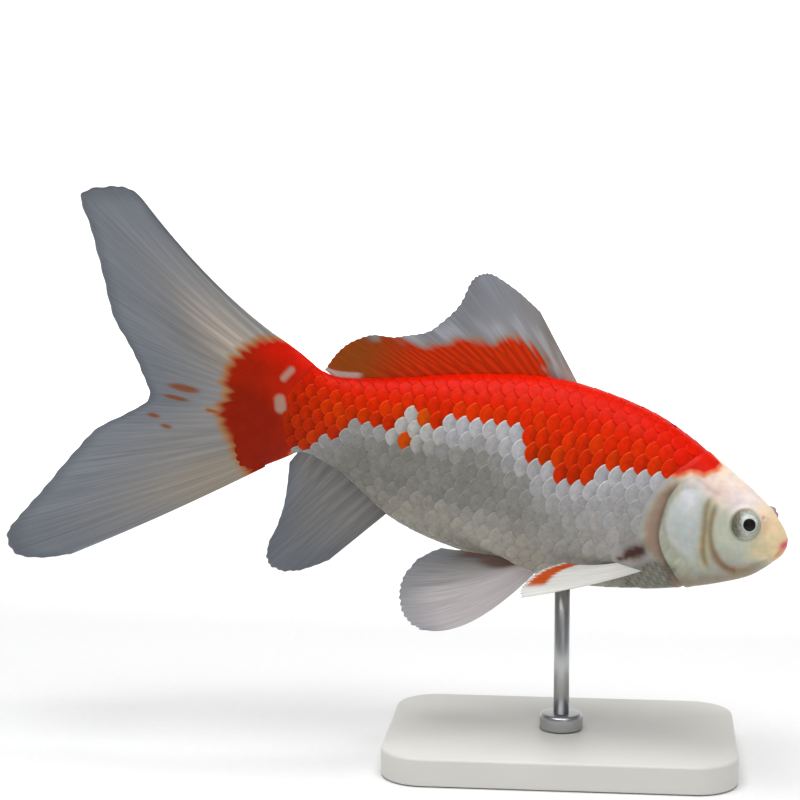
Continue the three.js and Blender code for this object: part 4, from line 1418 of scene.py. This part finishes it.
class GOLDFISH_OT_tail_fin(bpy.types.Operator):
    """The forked tail fin, both lobes in one ribbed membrane"""

    bl_idname = "goldfish.tail_fin"
    bl_label = "Tail fin"

    def execute(self, context):
        looks, body = context.scene.goldfish_fins, context.scene.goldfish_body
        thick = looks.thickness / MM
        tail = fin_shape(
            TAIL_RAYS, count=18, samples=(433, 70), root=5 * thick, tip=thick, ridge=0.08,
            wave=lambda u, v: 2.4 * v * v * np.sin(4 * np.pi * u),
            sag=lambda u: np.where(u < 0.5, -2.8 * (1 - 2 * u), -0.8 * (2 * u - 1)),
            fringe=0.012, seed=2.0)
        build_fin("tail_membrane", ["tail_fin_upper", "tail_fin_lower"],
                  membrane_material(), tail, tail_paint(looks, body, tail))
        return {"FINISHED"}


class GOLDFISH_OT_paired_fins(bpy.types.Operator):
    """The pectoral and pelvic fins of both sides"""

    bl_idname = "goldfish.paired_fins"
    bl_label = "Pectoral and pelvic fins"

    def execute(self, context):
        looks = context.scene.goldfish_fins
        material = membrane_material()
        thick = looks.thickness / MM
        for name, side in SIDES.items():
            pectoral = fin_shape(
                PECTORAL_RAYS, count=8, samples=(129, 44), root=3 * thick, tip=thick,
                ridge=0.05, sag=lambda u: -1.6, fringe=0.03, seed=4.0)
            build_fin(f"pectoral_membrane_{name}", [f"pectoral_fin_{name}"],
                      material, pectoral, pectoral_paint(looks, pectoral), side)
            rays = np.array(PELVIC_RAYS, float)
            rays[:, 1] += PELVIC_FOLD[name] * (rays[:1, 1] - rays[:, 1])
            pelvic = fin_shape(
                rays, count=9, samples=(145, 44), root=3 * thick, tip=thick, ridge=0.06,
                sag=lambda u: -6.5 * (1 - u), fringe=0.02, seed=6.0)
            build_fin(f"pelvic_membrane_{name}", [f"pelvic_fin_{name}"],
                      material, pelvic, pelvic_paint(looks, pelvic), side)
        return {"FINISHED"}


# ---- the eyes ----

EYE_AXIS = unit(np.array([-2.39, 4.09, 1.61]))  # the way the left eye looks
SOCKET_NORMAL = unit(np.array([-0.3, 0.92, 0.25]))
EYE_THICKNESS = 0.66  # the ball's depth into the head as a share of its width
DOME_HEIGHT = 0.6  # how far the clear dome over the pupil stands out


def flattened(offsets):
    """Offsets from the eye's middle, pressed together across the socket, so that the eye stands
    out of the head by a quarter of its width."""
    deep = offsets @ SOCKET_NORMAL
    return offsets - (1 - EYE_THICKNESS) * deep[..., None] * SOCKET_NORMAL


def iris_paint(looks, way, off, turn):
    """The eye's paint by the angle off the way it looks: a black pupil, a silver ring, pale
    lobes above and below, and a grey-green iris, specked and with brownish arcs towards the
    rear, where its edge is darkened by painted shade, more so lower down."""
    degrees = np.degrees(off)
    to_rear = way[..., 0] / np.maximum(np.sin(off), 0.05)
    upwards = way[..., 2] / np.maximum(np.sin(off), 0.05)
    streak = 0.5 + 0.5 * mottle(turn * 9, degrees / 6)
    blotch = mottle(turn * 5, degrees / 9, 3.0)
    lobes = bell(degrees - 34, 8) * ramp(np.abs(upwards - 0.15), 0.35, 0.9)
    speck = ramp(mottle(turn * 11, degrees / 4, 1.0), -0.1, 0.4) * ramp(degrees, 28, 34)
    green = ramp(-blotch, 0.0, 0.5) * ramp(degrees, 30, 40)
    arcs = streak * ramp(degrees, 29, 37) * ramp(to_rear, -0.2, 0.6)
    # painted shade on the eye's rear edge, more so lower down
    dark = ramp(degrees, 33, 52) * ramp(to_rear - 0.35 * upwards, -0.2, 0.5)
    front_edge = ramp(degrees, 56, 70) * (1 - ramp(to_rear, -0.2, 0.4))
    return layered(
        np.broadcast_to(np.array(looks.iris), (*off.shape, 3)),
        (TINT["iris lobe"], (0.6 + 0.25 * blotch) * lobes),
        (TINT["iris speck"], 0.75 * speck * ramp(to_rear + 0.6 - 0.5 * lobes, 0, 0.8)),
        (TINT["iris green"], 0.5 * green),
        (TINT["iris arc"], 0.55 * arcs),
        # painted shade: dark olive over the rear edge of the eye
        (TINT["painted shade on eye rear"], (0.6 + 0.3 * streak) * dark),
        (TINT["iris front"], 0.75 * front_edge),
        (TINT["pupil ring"], 0.75 * bell(degrees - 26.4, 1.3)),
        (looks.pupil, 1 - ramp(degrees, 23.4, 25.4)),
    )


def eye_shape(looks, side):
    """Points, faces and paint of an eye: a ball drawn as rings round the way it looks, with a
    low clear dome over the pupil, flattened into its socket."""
    off, turn = np.meshgrid(np.linspace(0, np.pi, 50)[1:-1], np.arange(72) / 72 * 2 * np.pi,
                            indexing="ij")
    right = unit(np.cross(EYE_AXIS, [0, 0, 1]))
    up = np.cross(right, EYE_AXIS)
    across = np.cos(turn)[..., None] * right + np.sin(turn)[..., None] * up
    way = np.cos(off)[..., None] * EYE_AXIS + np.sin(off)[..., None] * across
    reach = EYE_RADIUS + DOME_HEIGHT * bell(off, 0.5)
    ends = np.array([EYE_AXIS * (EYE_RADIUS + DOME_HEIGHT), -EYE_AXIS * EYE_RADIUS])
    offsets = np.concatenate([(way * reach[..., None]).reshape(-1, 3), ends])
    points = (EYE_CENTRE + flattened(offsets)) * [1, side, 1]
    paint = iris_paint(looks, way, off, turn)
    paint = np.concatenate([paint.reshape(-1, 3), [looks.pupil], paint[-1, :1]])
    return pose(points), closed_faces(*off.shape), paint


class GOLDFISH_OT_eyes(bpy.types.Operator):
    """Both eyes, as glossy painted balls"""

    bl_idname = "goldfish.eyes"
    bl_label = "Eyes"

    def execute(self, context):
        looks = context.scene.goldfish_body
        material = eye_material()
        for name, side in SIDES.items():
            points, faces, paint = eye_shape(looks, side)
            build_piece(f"glass_eye_{name}", points, faces, material,
                        [f"eye_{name}"], paint)
        return {"FINISHED"}


# ---- the stand ----

def turned(profile_points, around=64):
    """A turned form: a profile of (radius, height) points carried round the upright axis, with
    a point to close each end."""
    radius, height = np.array(profile_points, float).T
    rings = rings_about_axis(radius, height, np.arange(around) / around * 2 * np.pi)
    ends = np.array([[0, 0, height[0]], [0, 0, height[-1]]])
    return np.concatenate([rings.reshape(-1, 3), ends]), closed_faces(len(height), around)


def rounded_plate(length, width, thickness, corner, bevel):
    """A plate with rounded corners and edges. Its rings are a rounded oblong drawn in by an
    inset and set at a height; the edge's rings follow quarter circles, and the flat top and
    bottom are closed by ever smaller rings."""
    per_corner = 12
    quarter = np.linspace(0, np.pi / 2, 7)
    inset = np.concatenate([
        [0.9 * corner, 3 * bevel], bevel * (1 - np.sin(quarter)), bevel * (1 - np.cos(quarter)),
        [3 * bevel, 0.9 * corner]])
    height = np.concatenate([
        [0, 0], bevel * (1 - np.cos(quarter)), thickness - bevel * (1 - np.sin(quarter)),
        [thickness, thickness]])
    turn = np.concatenate([np.linspace(q, q + 1, per_corner) for q in range(4)]) * np.pi / 2
    sign_x = np.repeat([1, -1, -1, 1], per_corner)
    sign_y = np.repeat([1, 1, -1, -1], per_corner)
    reach = corner - inset[:, None]
    rings = np.stack([
        sign_x * (length / 2 - corner) + reach * np.cos(turn),
        sign_y * (width / 2 - corner) + reach * np.sin(turn),
        np.broadcast_to(height[:, None], (len(height), len(turn))),
    ], -1)
    points = np.concatenate([rings.reshape(-1, 3), [[0, 0, 0], [0, 0, thickness]]])
    return points, closed_faces(*rings.shape[:2])


def collar_profile(outer, low, top, soft, hole):
    """A collar's profile from its foot to its top, as (radius, height) points: a small chamfer
    at the foot and a quarter circle four times as large at the top."""
    round_edge = 4 * soft
    return [
        (hole, low), (outer - soft, low), (outer, low + soft), (outer, top - round_edge),
        *[(outer - round_edge * (1 - np.cos(a)), top - round_edge * (1 - np.sin(a)))
          for a in np.linspace(0, np.pi / 2, 6)[1:]],
        (hole, top),
    ]


class GOLDFISH_OT_stand(bpy.types.Operator):
    """The display stand: a painted steel plate, a turned collar and a brushed rod"""

    bl_idname = "goldfish.stand"
    bl_label = "Display stand"

    def execute(self, context):
        looks = context.scene.goldfish_stand
        steel = steel_material(looks)
        low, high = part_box("stand_base")
        points, faces = rounded_plate(high.x - low.x, high.y - low.y, high.z - low.z,
                                      looks.corner, looks.bevel)
        build_piece("stand_plate", points, faces, paint_material(looks),
                    ["stand_base"])
        low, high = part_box("stand_collar")
        points, faces = turned(
            collar_profile(high.x, low.z, high.z, looks.bevel / 3, looks.rod_radius))
        build_piece("stand_collar_turned", points, faces, steel,
                    ["stand_collar"])
        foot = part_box("stand_rod")[0].z
        tip = pose([SUPPORT_STATION, 0, belly(SUPPORT_STATION) + 0.2])[2]  # just inside the belly
        points, faces = turned([(looks.rod_radius, foot), (looks.rod_radius, tip)])
        build_piece("stand_rod_brushed", points, faces, steel, ["stand_rod"])
        return {"FINISHED"}


# ---- the stage ----

FLOOR_GAP = 0.0002  # metres between the floor and the stand's foot
FLOOR_SIDES = 96


def floor_material():
    """Pale seamless studio paper: matte, with a very faint fibre."""
    material, tree = new_material("pale studio paper")
    place = add_node(tree, "ShaderNodeTexCoord")
    fibre = add_node(tree, "ShaderNodeTexNoise", {
        "Vector": place.outputs["Object"], "Scale": 400.0, "Detail": 4.0})
    colour = add_node(tree, "ShaderNodeMix", {
        0: fibre.outputs["Fac"], 6: (*linear("#F4F4F4"), 1), 7: (*linear("#FAFAFA"), 1)},
        data_type="RGBA")
    bump = add_node(tree, "ShaderNodeBump", {
        "Strength": 0.1, "Distance": 0.0002, "Height": fibre.outputs["Fac"]})
    shader = add_node(tree, "ShaderNodeBsdfPrincipled", {
        "Base Color": colour.outputs[2], "Roughness": 0.9, "Normal": bump.outputs["Normal"]})
    finish_material(tree, shader)
    return material


def facing(place, target):
    """The turn that points a lamp or camera at a target, with its top upwards."""
    return (Vector(target) - Vector(place)).to_track_quat("-Z", "Y").to_euler()


def add_light(name, place, target, size, power):
    """A square soft box at a place, facing a target."""
    lamp = bpy.data.lights.new(name, "AREA")
    lamp.shape = "SQUARE"
    lamp.size = size
    lamp.energy = power
    holder = bpy.data.objects.new(name, lamp)
    bpy.context.scene.collection.objects.link(holder)
    holder.location = place
    holder.rotation_euler = facing(place, target)


def add_floor(flat, rise):
    """A round floor whose rim curves up: flat rings, then a quarter circle, closed in the
    middle by a fan. It lies a little under the stand."""
    quarter = np.linspace(0, np.pi / 2, 16)[1:]
    radius = np.concatenate([[0.02, 0.3, flat], flat + rise * np.sin(quarter)])
    height = np.concatenate([[0, 0, 0], rise * (1 - np.cos(quarter))]) - FLOOR_GAP
    rings = rings_about_axis(radius, height, np.arange(FLOOR_SIDES) / FLOOR_SIDES * 2 * np.pi)
    points = np.concatenate([rings.reshape(-1, 3), [[0, 0, -FLOOR_GAP]]])
    faces = [grid_faces(len(height), FLOOR_SIDES, wrap=True)[:, ::-1],
             fan_faces(len(points) - 1, np.arange(FLOOR_SIDES))]
    mesh = bpy.data.meshes.new("studio_floor")
    mesh.from_pydata(points.tolist(), [], [f.tolist() for part in faces for f in part])
    mesh.polygons.foreach_set("use_smooth", np.ones(len(mesh.polygons), bool))
    mesh.materials.append(floor_material())
    floor = bpy.data.objects.new("studio_floor", mesh)
    bpy.context.scene.collection.objects.link(floor)


def add_air(strength):
    """Even, slightly cool light from all round."""
    world = bpy.data.worlds.new("studio_air")
    world.use_nodes = True
    air = world.node_tree.nodes["Background"]
    air.inputs["Color"].default_value = (*linear("#F6F8FC"), 1)
    air.inputs["Strength"].default_value = strength
    bpy.context.scene.world = world


def add_camera(stage):
    """The camera, at a distance from its target in the direction of two angles."""
    azimuth, elevation = stage.azimuth, stage.elevation
    away = np.array([np.cos(elevation) * np.sin(azimuth),
                     -np.cos(elevation) * np.cos(azimuth), np.sin(elevation)])
    lens = bpy.data.cameras.new("camera")
    lens.lens = stage.lens
    lens.sensor_width = 36
    lens.clip_start = 0.01
    camera = bpy.data.objects.new("camera", lens)
    bpy.context.scene.collection.objects.link(camera)
    aim = np.array(stage.target)
    camera.location = aim + away * stage.distance
    camera.rotation_euler = facing(camera.location, aim)
    bpy.context.scene.camera = camera


class GOLDFISH_OT_stage(bpy.types.Operator):
    """A pale seamless floor, soft studio light and the camera"""

    bl_idname = "goldfish.stage"
    bl_label = "Floor, light and camera"

    def execute(self, context):
        stage = context.scene.goldfish_stage
        add_floor(stage.floor_radius, stage.floor_rise)
        aim = np.array(stage.target)
        add_light("soft_box_above", (-0.05, -0.18, 1.2), aim, 1.0, stage.key_power)
        add_light("soft_box_front", (0.55, -1.5, 0.75), aim, 0.9, stage.fill_power)
        add_light("backdrop_lamp", (-0.05, 0.75, 1.3), (-0.05, 2.4, 0.55), 1.2,
                  stage.backdrop_power)
        add_air(stage.air)
        add_camera(stage)
        context.scene.view_settings.view_transform = "Standard"
        return {"FINISHED"}


# ---- what a user may change ----

def colour_property(name, description, code):
    """A colour that a user may change, with its default given as an sRGB hex value."""
    return bpy.props.FloatVectorProperty(
        name=name, description=description, subtype="COLOR", size=3, min=0, max=1,
        default=linear(code))


def length_property(name, description, metres):
    """A length that a user may change, in metres."""
    return bpy.props.FloatProperty(
        name=name, description=description, subtype="DISTANCE", unit="LENGTH", min=0,
        default=metres, precision=5)


class GoldfishBody(bpy.types.PropertyGroup):
    """Colours of the skin, the scales and the eyes"""

    mantle: colour_property("Mantle", "Scarlet along the back", "#E21A03")
    mantle_low: colour_property("Lower mantle", "Scarlet down the flank", "#D82404")
    tail_patch: colour_property("Tail patch", "Deep red over the root of the tail", "#961E02")
    pale_mark: colour_property("Pale marks", "Pale marks on the tail stalk", "#B09684")
    fringe: colour_property("Fringe", "Amber edge of the mantle", "#E4741A")
    flank: colour_property("Flank", "Pearl of the flank", "#A9A8A7")
    # Rear flank: the darker pearl that the painted shade towards the tail moves to
    shaded_rear_flank: colour_property("Rear flank", "Duller pearl of the rear flank", "#878680")
    belly: colour_property("Belly", "Pearl of the belly", "#ABA79C")
    cheek: colour_property("Cheek", "Pale greenish cheek", "#C6CBB8")
    chin: colour_property("Chin", "Olive chin", "#918775")
    brow: colour_property("Brow", "Peach forehead", "#F1E0CE")
    snout: colour_property("Snout", "Straw snout", "#EAD6A8")
    gill_plate: colour_property("Gill plate", "Pearly gill cover", "#C4CBC8")
    gill_rim: colour_property("Gill rim", "Streaked rim below the gill plate", "#B4B8A4")
    gill_strip: colour_property("Gill strip", "Brownish strip behind the gill cover", "#B09684")
    # Fold: the folds' brownish colour, which also stands in for painted shade in their grooves
    fold: colour_property("Fold", "Brownish folds of the face", "#94815F")
    lips: colour_property("Lips", "Rose lips", "#E8606C")
    pupil: colour_property("Pupil", "Pupil", "#08080B")
    iris: colour_property("Iris", "Grey-green iris", "#ABB0A2")
    stray_scale: colour_property("Stray scales", "Orange scales below the mantle", "#D04E0A")


class GoldfishCoat(bpy.types.PropertyGroup):
    """Sizes of the scales"""

    pitch: length_property("Pitch", "From one scale of a row to the next", 0.0047)
    rise: length_property("Rise", "How far a scale rises from its front to its rear", 0.00026)
    thickness: length_property("Thickness", "Thickness of a scale", 0.0001)


class GoldfishFins(bpy.types.PropertyGroup):
    """Sizes and colours of the fins"""

    thickness: length_property("Thickness", "Thickness of a membrane at its edge", 0.0004)
    membrane: colour_property("Membrane", "Grey membrane", "#8C8B8A")
    fin_ray: colour_property("Rays", "Rays near their roots", "#B9B6B2")
    fin_edge: colour_property("Edge", "Bluish grey outer part of a fin", "#767E8A")
    paired_fin: colour_property("Pectoral fins", "Whitish pectoral fins", "#EAE8E2")
    pelvic_fin: colour_property("Pelvic fins", "Pinkish grey pelvic fins", "#D6CFCF")
    fringe: colour_property("Fringe", "Amber edge of a red patch", "#B4762A")
    fin_red: colour_property("Dorsal band", "Red foot of the dorsal fin", "#DC3806")


class GoldfishStand(bpy.types.PropertyGroup):
    """Sizes and colours of the stand"""

    corner: length_property("Corner", "Radius of the plate's corners", 0.014)
    bevel: length_property("Edge", "Radius of the plate's edges", 0.001)
    rod_radius: length_property("Rod radius", "Radius of the rod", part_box("stand_rod")[1].x)
    plate_colour: colour_property("Plate", "Paint of the plate", "#E4E2DC")
    steel_colour: colour_property("Steel", "Brushed steel", "#B9BABC")


class GoldfishStage(bpy.types.PropertyGroup):
    """The floor, the light and the camera"""

    floor_radius: length_property("Floor", "Radius of the flat floor", 1.5)
    floor_rise: length_property("Rise", "How far the floor's rim curves up", 2.0)
    key_power: bpy.props.FloatProperty(
        name="Upper light", description="Power of the soft box above", default=16, unit="POWER")
    fill_power: bpy.props.FloatProperty(
        name="Front light", description="Power of the soft box in front", default=1.2,
        unit="POWER")
    backdrop_power: bpy.props.FloatProperty(
        name="Backdrop light", description="Power of the soft box that lights the backdrop",
        default=50, unit="POWER")
    air: bpy.props.FloatProperty(
        name="Air", description="Strength of the light from all round", default=0.16)
    azimuth: bpy.props.FloatProperty(
        name="Azimuth", description="Camera's place round the fish", subtype="ANGLE",
        default=np.radians(6))
    elevation: bpy.props.FloatProperty(
        name="Elevation", description="Camera's height above the fish", subtype="ANGLE",
        default=np.radians(8))
    distance: length_property("Distance", "Camera to target", 0.7114)
    lens: bpy.props.FloatProperty(
        name="Lens", description="Focal length in millimetres", default=100)
    target: bpy.props.FloatVectorProperty(
        name="Target", description="Where the camera looks", subtype="XYZ", size=3,
        default=(-0.0525, 0, 0.11574))


class GOLDFISH_PT_panel(bpy.types.Panel):
    """Lists the pieces of the goldfish and what may be changed on them"""

    bl_idname = "GOLDFISH_PT_panel"
    bl_label = "Goldfish"
    bl_space_type = "VIEW_3D"
    bl_region_type = "UI"
    bl_category = "Goldfish"

    def draw(self, context):
        for group in GROUPS:
            values = getattr(context.scene, group)
            for name in values.bl_rna.properties.keys():
                if name not in ("rna_type", "name"):
                    self.layout.prop(values, name)
        for operator in OPERATORS:
            self.layout.operator(operator.bl_idname)


GROUPS = {
    "goldfish_body": GoldfishBody,
    "goldfish_coat": GoldfishCoat,
    "goldfish_fins": GoldfishFins,
    "goldfish_stand": GoldfishStand,
    "goldfish_stage": GoldfishStage,
}
OPERATORS = [
    GOLDFISH_OT_skin,
    GOLDFISH_OT_scales,
    GOLDFISH_OT_back_and_vent_fins,
    GOLDFISH_OT_tail_fin,
    GOLDFISH_OT_paired_fins,
    GOLDFISH_OT_eyes,
    GOLDFISH_OT_stand,
    GOLDFISH_OT_stage,
]


def register():
    """Registers the property groups, the operators and the panel."""
    for name, group in GROUPS.items():
        bpy.utils.register_class(group)
        setattr(bpy.types.Scene, name, bpy.props.PointerProperty(type=group))
    for kind in [*OPERATORS, GOLDFISH_PT_panel]:
        bpy.utils.register_class(kind)


def unregister():
    """Takes them all away again."""
    for kind in [GOLDFISH_PT_panel, *reversed(OPERATORS)]:
        bpy.utils.unregister_class(kind)
    for name, group in GROUPS.items():
        delattr(bpy.types.Scene, name)
        bpy.utils.unregister_class(group)


def main():
    """Makes every piece in order."""
    register()
    bpy.ops.goldfish.skin()
    bpy.ops.goldfish.scales()
    bpy.ops.goldfish.back_and_vent_fins()
    bpy.ops.goldfish.tail_fin()
    bpy.ops.goldfish.paired_fins()
    bpy.ops.goldfish.eyes()
    bpy.ops.goldfish.stand()
    bpy.ops.goldfish.stage()


if __name__ == "__main__":
    main()
